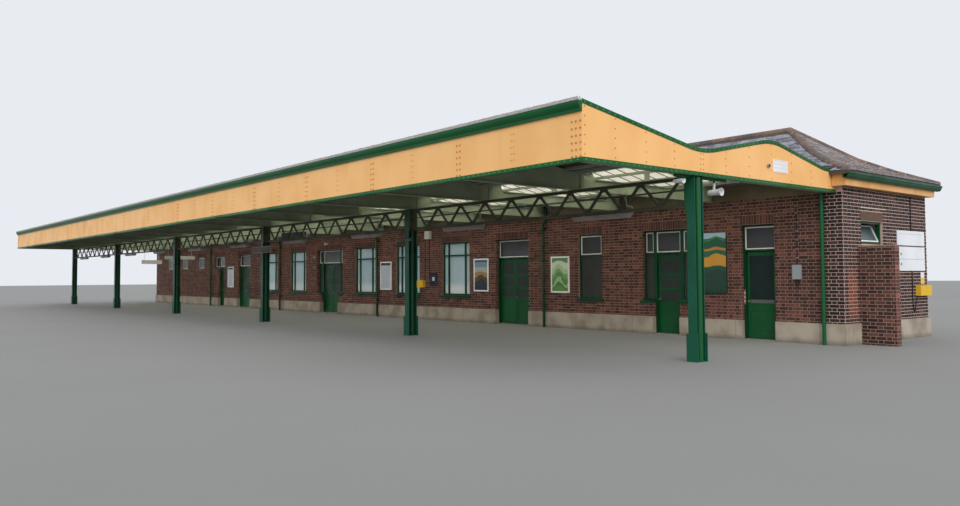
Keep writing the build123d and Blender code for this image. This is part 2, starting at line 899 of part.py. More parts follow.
def slope_plan(side):
    """Plan of one slope, between its eave and the ridge."""
    near, far = mid + eave_x, mid - eave_x
    front, back = y_mid - eave_y, y_mid + eave_y
    ridge = [(mid + ridge_x, y_mid), (mid - ridge_x, y_mid)]
    return {
        "front": [(far, front), (near, front), ridge[0], ridge[1]],
        "rear": [(near, back), (far, back), ridge[1], ridge[0]],
        "near": [(near, front), (near, back), ridge[0]],
        "far": [(far, back), (far, front), ridge[1]],
    }[side]


def slope_line(edge, crest, drop):
    """One slope's profile from eave to ridge, flatter over the sprockets at its foot."""
    knots = [(0, 0)] + sprockets + [(1, 1)]
    rise = ridge_z - slate_edge_z
    return [(edge + (crest - edge) * u, slate_edge_z - drop + rise * v) for u, v in knots]


def slope_sheet(side):
    """The slates and boards of one slope, mitred to its plan."""
    if side in ("front", "rear"):
        edge = y_mid - eave_y if side == "front" else y_mid + eave_y
        plane, crest, reach = Plane.YZ.offset(mid - eave_x), y_mid, 2 * eave_x
    else:
        edge = mid + eave_x if side == "near" else mid - eave_x
        crest = mid + ridge_x if side == "near" else mid - ridge_x
        plane, reach = Plane.XZ.offset(-(y_mid - eave_y)), -2 * eave_y
    upper = slope_line(edge, crest, 0)
    lower = slope_line(edge, crest, slate_drop)
    with BuildPart() as sheet:
        with BuildSketch(plane):
            Polygon(*upper, *reversed(lower), align=None)
        extrude(amount=reach)
        with BuildSketch():
            Polygon(*slope_plan(side), align=None)
        extrude(amount=ridge_z + 100, mode=Mode.INTERSECT)
        if side == "front":
            over_gutter()
    return sheet


def over_gutter():
    """Cut back what would stand over the canopy's wall gutter."""
    block((mid - notch_x, mid + notch_x), (y_wall - 400, y_wall), (1000, 2400), Mode.SUBTRACT)


def roof_profiles(drop):
    """The roof's outline across and along, with its plane and the reach of its extrusion."""
    profiles = []
    for plane, centre, half, crest, reach in (
        (Plane.YZ.offset(mid - eave_x), y_mid, eave_y, 0, 2 * eave_x),
        (Plane.XZ.offset(-(y_mid - eave_y)), mid, eave_x, ridge_x, -2 * eave_y),
    ):
        left = slope_line(centre - half, centre - crest, drop)
        right = slope_line(centre + half, centre + crest, drop)
        if crest == 0:
            right.pop()
        outline = [(centre - half, 0)] + left + right[::-1] + [(centre + half, 0)]
        profiles.append((plane, outline, reach))
    return profiles


def eaves_box(side):
    """Boarded eaves and wall plate, from the soffit up to the slates' underside."""
    with BuildPart() as box:
        with BuildSketch(Plane.XY.offset(wall_top)):
            with Locations((mid, y_mid)):
                Rectangle(range_len + 2 * board_out, range_depth + 2 * board_out)
                Rectangle(range_len - wall_thick, range_depth - wall_thick, mode=Mode.SUBTRACT)
        extrude(amount=ridge_z - wall_top)
        with BuildSketch(Plane.XY.offset(soffit_z)):
            with Locations((mid, y_mid)):
                Rectangle(range_len + 2 * board_out, range_depth + 2 * board_out)
                Rectangle(range_len, range_depth, mode=Mode.SUBTRACT)
        extrude(amount=wall_top - soffit_z)
        for plane, outline, reach in roof_profiles(slate_drop):
            with BuildSketch(plane):
                Polygon(*outline, align=None)
            extrude(amount=reach, mode=Mode.INTERSECT)
        with BuildSketch():
            Polygon(*slope_plan(side), align=None)
        extrude(amount=ridge_z, mode=Mode.INTERSECT)
        if side == "front":
            over_gutter()
    return box


for side in ("front", "rear", "near", "far"):
    save(f"roof_{side}", slope_sheet(side))

for side in ("front", "rear", "near", "far"):
    save(f"eaves_{side}", eaves_box(side))

# Half-round tiles bedded along the ridge and down the four hips, drawn with twelve sides
tile_sink = tile_r * 0.3
tile_lap = 6
with BuildPart() as ridge_tiles:
    ridge_ends = [Vector(mid + side * ridge_x, y_mid, ridge_z - tile_sink) for side in (-1, 1)]
    tile_runs = [ridge_ends]
    for side_x in (-1, 1):
        for side_y in (-1, 1):
            along_x = slope_line(mid + side_x * eave_x, mid + side_x * ridge_x, tile_sink)
            along_y = slope_line(y_mid + side_y * eave_y, y_mid, tile_sink)
            line = [Vector(x, y, z) for (x, z), (y, same_z) in zip(along_x, along_y)]
            line[0] -= (line[1] - line[0]).normalized() * 2 * tile_r
            tile_runs += zip(line, line[1:])
    for start, end in tile_runs:
        run = end - start
        with BuildSketch(Plane(start, x_dir=run.cross(Vector(0, 0, 1)), z_dir=run)):
            RegularPolygon(tile_r, 12)
        extrude(amount=run.length + tile_lap)
    with BuildSketch():
        with Locations((mid, y_mid)):
            Rectangle(2 * eave_x, 2 * eave_y)
    extrude(amount=ridge_z + 2 * tile_r, mode=Mode.INTERSECT)
    with BuildPart(mode=Mode.SUBTRACT):
        mode = Mode.ADD
        for plane, outline, reach in roof_profiles(0):
            with BuildSketch(plane):
                Polygon(*outline, align=None)
            extrude(amount=reach, mode=mode)
            mode = Mode.INTERSECT
    over_gutter()
save("ridge_tiles", ridge_tiles)


def gutter_line(edge, out):
    """Ogee gutter section against a board at edge, with out the sign of its outward way."""
    low = gutter_top - gutter_deep
    with BuildLine() as line:
        Line((edge, low), (edge + out * 34, low))
        ThreePointArc((edge + out * 34, low), (edge + out * 52, low + 14), (edge + out * 60, low + 36))
        Polyline(
            (edge + out * 60, low + 36),
            (edge + out * gutter_w, low + 46),
            (edge + out * gutter_w, gutter_top),
            (edge + out * (gutter_w - 4), gutter_top),
            (edge + out * (gutter_w - 4), low + 48),
            (edge + out * 56, low + 38),
        )
        ThreePointArc((edge + out * 56, low + 38), (edge + out * 49, low + 17), (edge + out * 33, low + 4))
        Polyline(
            (edge + out * 33, low + 4),
            (edge + out * 4, low + 4),
            (edge + out * 4, low + 42),
            (edge, low + 42),
            (edge, low),
        )
    return line.line


# Eaves gutters on the two ends and along the rear
with BuildPart() as end_gutters:
    for x, out in ((x_near + board_out, 1), (x_far - board_out, -1)):
        with BuildSketch(Plane.XZ.offset(-(y_wall - eaves_out))):
            with BuildLine():
                add(gutter_line(x, out))
            make_face()
        extrude(amount=-(range_depth + 2 * eaves_out))
save("end_gutters", end_gutters)

with BuildPart() as rear_gutter:
    with BuildSketch(Plane.YZ.offset(x_far - board_out + 0.5)):
        with BuildLine():
            add(gutter_line(y_back + board_out, 1))
        make_face()
    extrude(amount=range_len + 2 * board_out - 1)
save("rear_gutter", rear_gutter)

# Rainwater pipes down the front wall from the canopy's wall gutter. Where a rib stands over a
# pipe, the pipe is offset beside it.
downpipe_r = 20
downpipe_y = y_wall - 48
downpipe_shift = 55
downpipe_from_fascia = [(135, 0), (4465, 1), (9090, 0), (13325, -1), (17600, 0)]
with BuildPart() as downpipes:
    for distance, shift in downpipe_from_fascia:
        x = fascia_near - distance
        top_x = x + shift * downpipe_shift
        outlet_z = foot_z - rib_drop
        with BuildLine() as route:
            if shift:
                FilletPolyline(
                    (x, downpipe_y, 0),
                    (x, downpipe_y, steel_z - 125),
                    (top_x, downpipe_y, steel_z - 45),
                    (top_x, downpipe_y, outlet_z),
                    radius=40,
                )
            else:
                Line((x, downpipe_y, 0), (x, downpipe_y, outlet_z))
        with BuildSketch():
            with Locations((x, downpipe_y)):
                Circle(downpipe_r)
        sweep(path=route.wires()[0] if shift else route.edges()[0])
        for z in (320, 750, 1460):
            with BuildSketch(Plane.XY.offset(z)):
                with Locations((x, downpipe_y)):
                    Circle(downpipe_r + 4)
                with Locations((x, (downpipe_y + y_wall) / 2)):
                    Rectangle(18, y_wall - downpipe_y)
            extrude(amount=18)
        with BuildSketch():
            with Locations((x, downpipe_y)):
                Circle(downpipe_r - 3)
        sweep(path=route.wires()[0] if shift else route.edges()[0], mode=Mode.SUBTRACT)
save("downpipes", downpipes)

# Outlets of the valley gutter, which turn in between the flanges of each column. The far
# column stands too near its end fascia for one, and drains by its own rain pipe.
outlet_r = 14
outlet_y = column_y - 38
with BuildPart() as valley_outlets:
    for x in column_x[1:]:
        start = x - column_w / 2 - 21
        with BuildLine() as route:
            FilletPolyline(
                (start, outlet_y, valley_z - rib_drop),
                (start, outlet_y, 1335),
                (x - web_t / 2 - 16, outlet_y, 1297),
                (x - web_t / 2, outlet_y, 1297),
                radius=12,
            )
        with BuildSketch(Plane.XY.offset(valley_z - rib_drop)):
            with Locations((start, outlet_y)):
                Circle(outlet_r)
        sweep(path=route.wires()[0])
        with Locations((start, outlet_y, 1353)):
            Cylinder(outlet_r + 2.5, 15)
save("valley_outlets", valley_outlets)


def on_front(x, z, depth):
    """Block on the front wall, by its distances from the near end fascia and its heights."""
    block(
        (fascia_near - x[1], fascia_near - x[0]),
        (y_wall - depth, y_wall),
        z,
    )


# Framed poster boards on the front wall, each with a sunk sheet
poster_edge = 24
poster_t = 14
posters = [
    ((1350, 1680), (540, 1285)),
    ((3970, 4345), (515, 1050)),
    ((5790, 6165), (515, 1055)),
    ((8645, 9030), (515, 1055)),
    ((16125, 16500), (515, 1055)),
]
with BuildPart() as poster_boards:
    for x, z in posters:
        on_front(x, z, poster_t)
        edge = poster_edge if z[0] < 530 else 6
        block(
            (fascia_near - x[1] + edge, fascia_near - x[0] - edge),
            (y_wall - poster_t, y_wall - poster_t + 5),
            (z[0] + edge, z[1] - edge),
            Mode.SUBTRACT,
        )
save("poster_boards", poster_boards)

# Plain sign plates: two on the near end wall over a strip, a small one under them, one on the
# end fascia and one on the front wall
with BuildPart() as wall_signs:
    for low, high, bottom, top, t in (
        (1290, 2040, 800, 1085, 10),
        (1290, 2040, 1085, 1100, 6),
        (1290, 2040, 1100, 1275, 10),
        (1925, 2025, 640, 785, 4),
    ):
        block((x_near, x_near + t), (y_wall + low, y_wall + high), (bottom, top))
    block((fascia_near, fascia_near + 4), (y_fascia + 2720, y_fascia + 2990), (1770, 1895))
    on_front((7188, 7405), (595, 830), 10)
save("wall_signs", wall_signs)

# Small cabinets, hooded telephones and a bulkhead light on the walls
with BuildPart() as wall_boxes:
    for x, z, depth in (
        ((400, 495), (710, 870), 45),
        ((7365, 7500), (1435, 1575), 60),
        ((7560, 7735), (570, 700), 60),
        ((11110, 11190), (1455, 1495), 50),
        ((11685, 11715), (1180, 1230), 20),
        ((11685, 11715), (955, 1000), 20),
    ):
        on_front(x, z, depth)
    block((x_near, x_near + 60), (y_wall + 1780, y_wall + 2095), (500, 622))
save("wall_boxes", wall_boxes)

# Strip lights under the girders, two to a bay
light_len = 750
light_w = 60
with BuildPart() as light_fittings:
    for x in column_x[:-1]:
        for place in (0.25, 0.75):
            centre = x + place * bay
            half = light_len / 2
            top = girder_z - 8
            block((centre - half, centre + half), (column_y - light_w / 2, column_y + light_w / 2), (top - 22, top))
            block(
                (centre - half + 12, centre + half - 12),
                (column_y - light_w / 2 + 8, column_y + light_w / 2 - 8),
                (top - 40, top - 22),
            )
            for side in (-0.6, 0.6):
                with Locations((centre + side * half, column_y, top + 4)):
                    Box(30, 34, 8)
save("light_fittings", light_fittings)

# Hanging boards: two across the platform on rods from the ribs, one along it on the third
# column, and a display under a rib
rod_r = 4
with BuildPart() as hanging_signs:
    for x, low, high, bottom, top in (
        (rib_x[2], column_y + 1050, column_y + 1600, 1165, 1275),
        (rib_x[5], column_y + 225, column_y + 925, 1200, 1280),
    ):
        block((x - 9, x + 9), (low, high), (bottom, top))
        for y in (low + 80, high - 80):
            with Locations((x, y, (top + steel_z) / 2)):
                Cylinder(rod_r, steel_z - top)
    face_y = column_y - column_deep / 2
    block((column_x[3] - 385, column_x[3] + 385), (face_y - 14, face_y), (1190, 1300))
    block((rib_x[8] - 300, rib_x[8] + 500), (y_wall - 1290, y_wall - 1160), (steel_z - 205, steel_z))
save("hanging_signs", hanging_signs)

# Horn speakers: two under beams that stand out from the head of the near column, and two on
# a bar across the second one
beam_w = 40
beam_h = 35
horn_r = 36
with BuildPart() as speakers:
    x = column_x[-1]
    face = column_deep / 2
    for low, high in ((-face - 220, -face), (face, face + 490)):
        block((x - beam_w / 2, x + beam_w / 2), (column_y + low, column_y + high), (steel_z - beam_h, steel_z))
    for y, z in ((column_y - 185, 1568), (column_y + 400, 1505)):
        block((x - 8, x + 8), (y - 8, y + 8), (z, steel_z - beam_h))
        with BuildSketch(Plane.YZ.offset(x - 60)):
            with Locations((y, z)):
                Circle(horn_r)
        extrude(amount=140)
    x = column_x[-2]
    y = column_y - face
    block((x - 130, x + 130), (y - 10, y), (1235, 1255))
    for side in (-1, 1):
        with BuildSketch(Plane.YZ.offset(x + side * 60)):
            with Locations((y - 26, 1245)):
                Circle(26)
        extrude(amount=side * 100)
save("speakers", speakers)
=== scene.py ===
import math
import bmesh
import bpy
import numpy as np
from mathutils import Matrix, Vector


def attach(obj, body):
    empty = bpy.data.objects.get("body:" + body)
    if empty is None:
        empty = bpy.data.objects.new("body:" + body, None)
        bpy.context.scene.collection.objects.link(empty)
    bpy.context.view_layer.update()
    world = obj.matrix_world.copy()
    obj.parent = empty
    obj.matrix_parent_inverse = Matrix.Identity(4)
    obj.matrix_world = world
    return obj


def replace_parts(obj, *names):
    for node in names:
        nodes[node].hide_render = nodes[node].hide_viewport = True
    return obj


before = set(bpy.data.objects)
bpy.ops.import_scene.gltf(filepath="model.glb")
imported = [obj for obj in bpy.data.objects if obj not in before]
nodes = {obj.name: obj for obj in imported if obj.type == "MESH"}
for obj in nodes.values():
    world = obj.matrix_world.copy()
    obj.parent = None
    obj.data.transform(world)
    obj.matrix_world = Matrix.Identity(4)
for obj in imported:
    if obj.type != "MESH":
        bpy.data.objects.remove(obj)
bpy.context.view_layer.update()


# Camera.
# It stands on the facing platform at eye height, near the end of the building, and looks
# along the canopy. Its place, turn and lens were fitted to points of the photograph.
eye = Vector((15.2049, -7.6034, 0.7602))
yaw, pitch, roll = -0.881553, 0.04395, -0.00563
ahead = Vector((math.sin(yaw) * math.cos(pitch), math.cos(yaw) * math.cos(pitch), math.sin(pitch)))
level = Vector((math.cos(yaw), -math.sin(yaw), 0))
upright = level.cross(ahead)
right = math.cos(roll) * level + math.sin(roll) * upright
up = math.cos(roll) * upright - math.sin(roll) * level
camera = bpy.data.objects.new("camera", bpy.data.cameras.new("camera"))
bpy.context.scene.collection.objects.link(camera)
camera.matrix_world = Matrix.Translation(eye) @ Matrix((right, up, -ahead)).transposed().to_4x4()
camera.data.sensor_width = 36
camera.data.lens = 30.151
camera.data.shift_x = 0.00229
camera.data.shift_y = -0.01232
camera.data.clip_end = 400
bpy.context.scene.camera = camera


# Studio floor and light.
# A pale level floor, an even pale sky and one large soft lamp high on the track side, so
# that the fascias are bright and the wall under the canopy is in soft shade.
class Value:
    """A shader socket that is reckoned with like a number."""

    def __init__(self, finish, socket):
        self.finish, self.socket = finish, socket

    def reckon(self, operation, first, second):
        return self.finish.node("ShaderNodeMath", {"operation": operation}, {0: first, 1: second})

    def __add__(self, other):
        return self.reckon("ADD", self, other)

    def __sub__(self, other):
        return self.reckon("SUBTRACT", self, other)

    def __rsub__(self, other):
        return self.reckon("SUBTRACT", other, self)

    def __mul__(self, other):
        return self.reckon("MULTIPLY", self, other)

    def __gt__(self, other):
        return self.reckon("GREATER_THAN", self, other)

    def __lt__(self, other):
        return self.reckon("LESS_THAN", self, other)

    def __mod__(self, other):
        return self.reckon("FLOORED_MODULO", self, other)

    def __abs__(self):
        return self.reckon("ABSOLUTE", self, 0)

    __radd__, __rmul__ = __add__, __mul__


class Finish:
    """One surface: a Principled shader, what feeds it, and the nodes between."""

    def __init__(self, name, **fixed):
        self.material = bpy.data.materials.new(name)
        self.material.use_nodes = True
        self.shader = self.material.node_tree.nodes["Principled BSDF"]
        for socket, value in fixed.items():
            self.shader.inputs[socket.replace("_", " ")].default_value = value
        self.place = self.node("ShaderNodeTexCoord", out="Object")
        self.x, self.y, self.z = (
            self.node("ShaderNodeSeparateXYZ", {}, {0: self.place}, out=axis) for axis in range(3)
        )

    def node(self, kind, settings=(), inputs=(), out=0):
        made = self.material.node_tree.nodes.new(kind)
        for setting, value in dict(settings).items():
            if setting == "stops":
                while len(made.color_ramp.elements) < len(value):
                    made.color_ramp.elements.new(0.5)
                for stop, (at, colour) in zip(made.color_ramp.elements, value):
                    stop.position, stop.color = at, colour
            else:
                setattr(made, setting, value)
        for socket, value in dict(inputs).items():
            self.feed(made.inputs[socket], value)
        return Value(self, made.outputs[out])

    def feed(self, socket, value):
        if isinstance(socket, str):
            socket = self.shader.inputs[socket]
        if isinstance(value, Value):
            self.material.node_tree.links.new(value.socket, socket)
        else:
            socket.default_value = value

    def noise(self, scale, detail=3.0, stretch=(1, 1, 1)):
        spread = self.node("ShaderNodeMapping", {}, {"Vector": self.place, "Scale": stretch})
        return self.node("ShaderNodeTexNoise", {}, {"Vector": spread, "Scale": scale, "Detail": detail})

    def rise(self, value, low, high):
        """0 below low, 1 above high, eased between."""
        limits = {"Value": value, "From Min": low, "From Max": high}
        return self.node("ShaderNodeMapRange", {"interpolation_type": "SMOOTHSTEP"}, limits)

    def within(self, value, low, high, soft=0.002):
        return self.rise(value, low - soft, low + soft) * (1 - self.rise(value, high - soft, high + soft))

    def mix(self, mask, under, over, way="MIX"):
        kind = {"data_type": "RGBA", "blend_type": way}
        return self.node("ShaderNodeMix", kind, {0: mask, 6: under, 7: over}, 2)

    def relief(self, height, depth, strength=1.0):
        raised = {"Height": height, "Distance": depth, "Strength": strength}
        self.feed("Normal", self.node("ShaderNodeBump", {}, raised))


def shade(red, green, blue):
    """A colour card's red, green and blue, 0 to 255, as light."""
    channels = (red, green, blue)
    return tuple(((c / 255 + 0.055) / 1.055) ** 2.4 if c > 10 else c / 3295 for c in channels) + (1.0,)


def piece(name, shape, finish, slot, body="building"):
    """Makes a finished bmesh or mesh an object of the scene that moves with its body."""
    mesh = shape
    if isinstance(shape, bmesh.types.BMesh):
        mesh = bpy.data.meshes.new(name)
        shape.to_mesh(mesh)
        shape.free()
    made = bpy.data.objects.new(name, mesh)
    bpy.context.scene.collection.objects.link(made)
    mesh.materials.append(finish.material)
    if slot:
        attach(made, body)
    return made


ground = Finish("studio_floor", Roughness=0.9)
ground.feed("Base Color", ground.mix(ground.noise(0.35), shade(126, 126, 124), shade(138, 138, 136)))
plane = bmesh.new()
bmesh.ops.create_grid(plane, x_segments=2, y_segments=2, size=90)
piece("studio_floor", plane, ground, None)
world = bpy.data.worlds.new("studio")
world.use_nodes = True
world.node_tree.nodes["Background"].inputs["Color"].default_value = shade(232, 236, 242)
world.node_tree.nodes["Background"].inputs["Strength"].default_value = 1.0
bpy.context.scene.world = world
lamp = bpy.data.objects.new("lamp", bpy.data.lights.new("lamp", "SUN"))
lamp.data.energy = 2.05
lamp.data.angle = 0.9
lamp.data.color = (1.0, 0.98, 0.95)
lamp.rotation_euler = Vector((1.4, -0.95, 1.2)).to_track_quat("Z", "Y").to_euler()
bpy.context.scene.collection.objects.link(lamp)
bpy.context.scene.view_settings.view_transform = "Standard"


# Brickwork.
# Solid walls of hard red bricks in Flemish bond, in sandy lime mortar. The node is the
# mortar, and each brick stands a little proud of it, with soldiers over the front openings.
# The end walls have burnt headers, wider pink joints, and a concrete lintel over a window.
x_near_end, x_far_end, y_wall, y_back = 11.065, -11.305, 0.869, 2.989
plinth_top, front_top, wall_top = 0.229, 1.65, 1.715
low_sill, high_sill, head = 0.4, 1.015, 1.352
course = 0.0381
joint = 0.005
long_brick, short_brick = 0.1075, 0.0513
pair = long_brick + short_brick + 2 * joint


def dress(finish, *names):
    """Gives CAD nodes their finish."""
    for name in names:
        nodes[name].data.materials.clear()
        nodes[name].data.materials.append(finish.material)


def copies(name, unit, centres, sizes, turns=None, tones=None):
    """One mesh with a copy of the unit shape at each centre, at its size and turn."""
    unit.verts.index_update()
    corners = np.array([v.co for v in unit.verts])
    faces = [[v.index for v in f.verts] for f in unit.faces]
    unit.free()
    centres, sizes = np.array(centres, float), np.array(sizes, float)
    count = len(centres)
    sizes = np.broadcast_to(sizes, (count, 3))
    turns = np.broadcast_to(np.eye(3) if turns is None else np.array(turns, float), (count, 3, 3))
    spots = np.einsum("nij,nkj->nki", turns, corners[None] * sizes[:, None]) + centres[:, None]
    starts = (np.arange(count) * len(corners)).tolist()
    mesh = bpy.data.meshes.new(name)
    mesh.from_pydata(spots.reshape(-1, 3).tolist(), [], [[i + s for i in f] for s in starts for f in faces])
    if tones is not None:
        tone = mesh.attributes.new("tone", "FLOAT", "FACE")
        tone.data.foreach_set("value", np.repeat(np.array(tones, np.float32), len(faces)))
    return mesh


def set_out(name, finish, slot, unit, centres, sizes, turns=None, tones=None):
    """Copies of a unit shape as one finished piece."""
    return piece(name, copies(name, unit, centres, sizes, turns, tones), finish, slot)


def brick_shape():
    """A brick's face and its four returns, with the arris worn back. The face looks along z."""
    shape = bmesh.new()
    bmesh.ops.create_cube(shape, size=1)
    back = [f for f in shape.faces if f.normal.z < -0.5]
    bmesh.ops.delete(shape, geom=back, context="FACES_ONLY")
    face = [v for v in shape.verts if v.co.z > 0]
    bmesh.ops.scale(shape, vec=(0.965, 0.93, 1), verts=face)
    return shape


def plank_shape():
    """A strip with the arrises of its face taken off. The face looks along z."""
    shape = bmesh.new()
    bmesh.ops.create_cube(shape, size=1)
    face = [v for v in shape.verts if v.co.z > 0]
    bmesh.ops.scale(shape, vec=(1, 0.9, 1), verts=face)
    return shape


def laid(start, stop, foot, top, openings, burnt, seed, soldiers=True):
    """Flemish bond along a wall: middles, sizes and tones of its bricks, openings left out."""
    chance = np.random.default_rng(seed)
    bricks = []
    for step in range(math.floor((foot - head) / course), math.ceil((top - head) / course)):
        low = max(foot, head + step * course + joint / 2)
        high = min(top, head + (step + 1) * course - joint / 2)
        if high - low < 0.01:
            continue
        middle = (low + high) / 2
        gaps = sorted((a, b) for a, b, sill in openings if sill < middle < head + 3 * course)
        edges = [start] + [edge for gap in gaps for edge in gap] + [stop]
        for left, right_end in zip(edges[::2], edges[1::2]):
            shift = (step % 2) * (long_brick + short_brick + joint) / 2 + joint
            first, last = math.floor((left - start) / pair) - 1, math.ceil((right_end - start) / pair)
            for number in range(first, last + 1):
                for offset, length in ((0, long_brick), (long_brick + joint, short_brick)):
                    a = start + number * pair + shift + offset
                    b = min(a + length, right_end)
                    a = max(a, left)
                    if b - a > 0.014:
                        header = length == short_brick
                        dark = header and chance.random() < burnt
                        usual = (0.12, 0.05) if dark else (0.55 - 0.06 * header, 0.12)
                        tone = chance.normal(*usual)
                        bricks.append(((a + b) / 2, middle, b - a, high - low, tone, chance.normal(0, 1)))
    for a, b, sill in openings if soldiers else ():
        number = round((b - a) / 0.038)
        each = (b - a) / number
        for i in range(number):
            tone = chance.normal(0.5, 0.07)
            middle = a + (i + 0.5) * each
            bricks.append((middle, head + 1.5 * course, each - joint, 3 * course - joint, tone, 0))
    return np.array(bricks)


def wall_of_bricks(name, origin, along, out, bricks, proud=0.0018, furthest=None):
    """Sets the bricks of one face, which lies along a level line and looks out from it."""
    along, out = Vector(along), Vector(out)
    turn = np.array(Matrix((along, (0, 0, 1), out)).transposed())
    depth = proud + 0.0003 * bricks[:, 5]
    local = np.stack([bricks[:, 0], bricks[:, 1], depth / 2 - 0.0005], 1)
    sizes = np.stack([bricks[:, 2], bricks[:, 3], depth + 0.001], 1)
    centres = local @ turn.T + np.array(origin)
    mesh = copies(name, brick_shape(), centres, sizes, turn, np.clip(bricks[:, 4], 0, 1))
    for vertex in mesh.vertices if furthest else ():
        vertex.co.x = min(vertex.co.x, furthest)
    piece(name, mesh, fired, "brick")


mortar = Finish("lime_mortar", Roughness=0.95)
ends = (mortar.x > 11.0645) + (mortar.x < -11.3045)
sand = mortar.mix(mortar.noise(60), shade(138, 108, 96), shade(166, 134, 120))
pink = mortar.mix(mortar.noise(60), shade(182, 154, 144), shade(210, 184, 172))
screen = mortar.x > 11.0665
tint = mortar.mix(ends * (1 - screen) + (mortar.x > 10.86) * (1 - ends), sand, pink)
rendered_foot = (mortar.z < plinth_top) * mortar.within(mortar.y, 0.8705, 1.03, 0.0005) * (mortar.x < 10.5)
mortar.feed("Base Color", mortar.mix(rendered_foot, tint, shade(150, 140, 124)))
mortar.relief(mortar.noise(400), 0.001)
dress(mortar, "front_wall", "door_heads", "end_walls", "rear_wall")

fired = Finish("fired_brick", Roughness=0.88)
tone = fired.node("ShaderNodeAttribute", {"attribute_name": "tone"}, out="Fac")
cast = tone + 0.25 * (fired.noise(45, 4) - 0.5) + 0.22 * (fired.noise(1.4, 2) - 0.5)
hues = (
    (0.0, shade(20, 13, 14)),
    (0.25, shade(62, 38, 33)),
    (0.5, shade(112, 68, 57)),
    (0.75, shade(142, 90, 74)),
    (1.0, shade(172, 116, 94)),
)
clay = fired.node("ShaderNodeValToRGB", {"stops": hues}, {0: cast})
rusty = (fired.x > 11.0) * fired.within(fired.y, 0.95, 1.15, 0.03) * fired.within(fired.z, 0.3, 0.78, 0.1)
clay = fired.mix(0.5 * rusty, clay, shade(164, 84, 58))
soot = fired.rise(fired.noise(2.2, 3, (1, 1, 0.35)), 0.52, 0.75)
clay = fired.mix(0.35 * soot, clay, shade(58, 44, 40))
fired.feed("Base Color", clay)
fired.relief(fired.noise(220, 4), 0.0012)

doors = [(9.825, 10.265, 0), (8.3485, 9.1235, low_sill), (5.3805, 6.1555, 0), (-0.607, 0.503, low_sill)]
doors += [(-4.8645, -4.0895, 0), (-6.176, -5.716, 0), (-6.491, -6.176, high_sill)]
below = [(8.5235, 8.9485, 0), (-0.427, 0.323, 0)]
half_window, half_high_window = 0.38, 0.2625
lit = [(x - half_window, x + half_window, low_sill) for x in (4.323, 2.876, 1.383, -1.497, -2.947)]
lit += [(7.2, 7.64, low_sill)]
lit += [(x - half_high_window, x + half_high_window, high_sill) for x in (-7.462, -8.762, -10.012)]
face = laid(x_far_end, x_near_end, plinth_top, front_top, doors + lit, 0, 3)
for a, b, sill in below:
    inside = (face[:, 0] > a - 0.05) & (face[:, 0] < b + 0.05) & (face[:, 1] < 0.41)
    for row in np.flatnonzero(inside):
        low, high = face[row, 0] - face[row, 2] / 2, face[row, 0] + face[row, 2] / 2
        low, high = (low, min(high, a)) if low < a else (max(low, b), high)
        face[row, 0], face[row, 2] = (low + high) / 2, high - low
    face = face[face[:, 2] > 0.01]
face[:, 4] = np.clip(face[:, 4], 0.4, 0.8)
face[:, 4] -= 0.17 + 0.12 * np.clip((face[:, 0] - 10.1) / 0.7, 0, 1) + 0.2 * (face[:, 0] > 10.86)
wall_of_bricks("front_bricks", (0, y_wall, 0), (1, 0, 0), (0, -1, 0), face)
reveals = [(a, 1, sill, head) for a, b, sill in doors[:5]] + [(a, 1, 0, low_sill) for a, b, sill in below]
reveals += [(b, -1, sill, head) for a, b, sill in doors[:6]] + [(b, -1, 0, low_sill) for a, b, sill in below]
reveals += [(-6.176, 1, 0, high_sill), (-6.491, 1, high_sill, head)]
for label, side in (("left", 1), ("right", -1)):
    rows, places = [], []
    for x, facing, foot, top in reveals:
        if facing == side:
            face = laid(0.8705, 0.925, max(foot, plinth_top), top, [], 0, round(100 * x + 5000))
            rows.append(face)
            places += [(x, 0, 0)] * len(face)
    face = np.concatenate(rows)
    face[:, 4] -= 0.2
    face[:, 0] *= side
    wall_of_bricks(label + "_reveal_bricks", places, (0, side, 0), (side, 0, 0), face, 0.001)
rear_window_x = [i * 2.21 - 0.12 + 1.105 - 11.05 for i in range(10)]
lit = [(x - half_window, x + half_window, low_sill) for x in rear_window_x]
face = laid(x_far_end, x_near_end, plinth_top, wall_top, lit, 0.06, 4)
face[:, 0] *= -1
wall_of_bricks("rear_bricks", (0, y_back, 0), (-1, 0, 0), (0, 1, 0), face)
lintel = Finish("stained_lintel", Roughness=0.9)
lintel.feed("Base Color", lintel.mix(lintel.noise(14, 5), shade(82, 60, 50), shade(112, 84, 70)))
lintel.relief(lintel.noise(120, 4), 0.001)
chalky = Finish("chalky_ledge", Roughness=0.85)
chalky.feed("Base Color", chalky.mix(chalky.noise(25, 4), shade(226, 222, 212), shade(180, 172, 160)))
for label, x, side, seed in (("near", x_near_end, 1, 5), ("far", x_far_end, -1, 6)):
    face = laid(y_wall, y_back, plinth_top, wall_top, [(1.2765, 1.8015, 1.095)], 0.85, seed, False)
    face[:, 2:4] -= 0.0012
    face[:, 4] -= 0.32 * (face[:, 4] > 0.3) + 0.1
    face[:, 0] *= side
    wall_of_bricks(label + "_end_bricks", (x, 0, 0), (0, side, 0), (side, 0, 0), face)
    out = np.array(((0, 0, side), (side, 0, 0), (0, 1, 0)), float)
    spot = (x + side * 0.0015, 1.534, 1.4085)
    set_out(label + "_lintel", lintel, "brick", plank_shape(), [spot], (0.54, 0.107, 0.005), out)
    spot = (x + side * 0.004, 1.57, 1.5)
    set_out(label + "_ledge", chalky, "brick", plank_shape(), [spot], (0.6, 0.011, 0.01), out)
screen_front, screen_rear, screen_end, screen_top = 1.189, 1.297, 11.455, 1.06
core = bmesh.new()
core_box = Matrix.Translation((11.25935, 1.243, 0.53725)) @ Matrix.Diagonal((0.3887, 0.108, 1.0745, 1))
bmesh.ops.create_cube(core, size=1, matrix=core_box)
worn = {"affect": "EDGES", "segments": 2, "profile": 0.5, "material": -1}
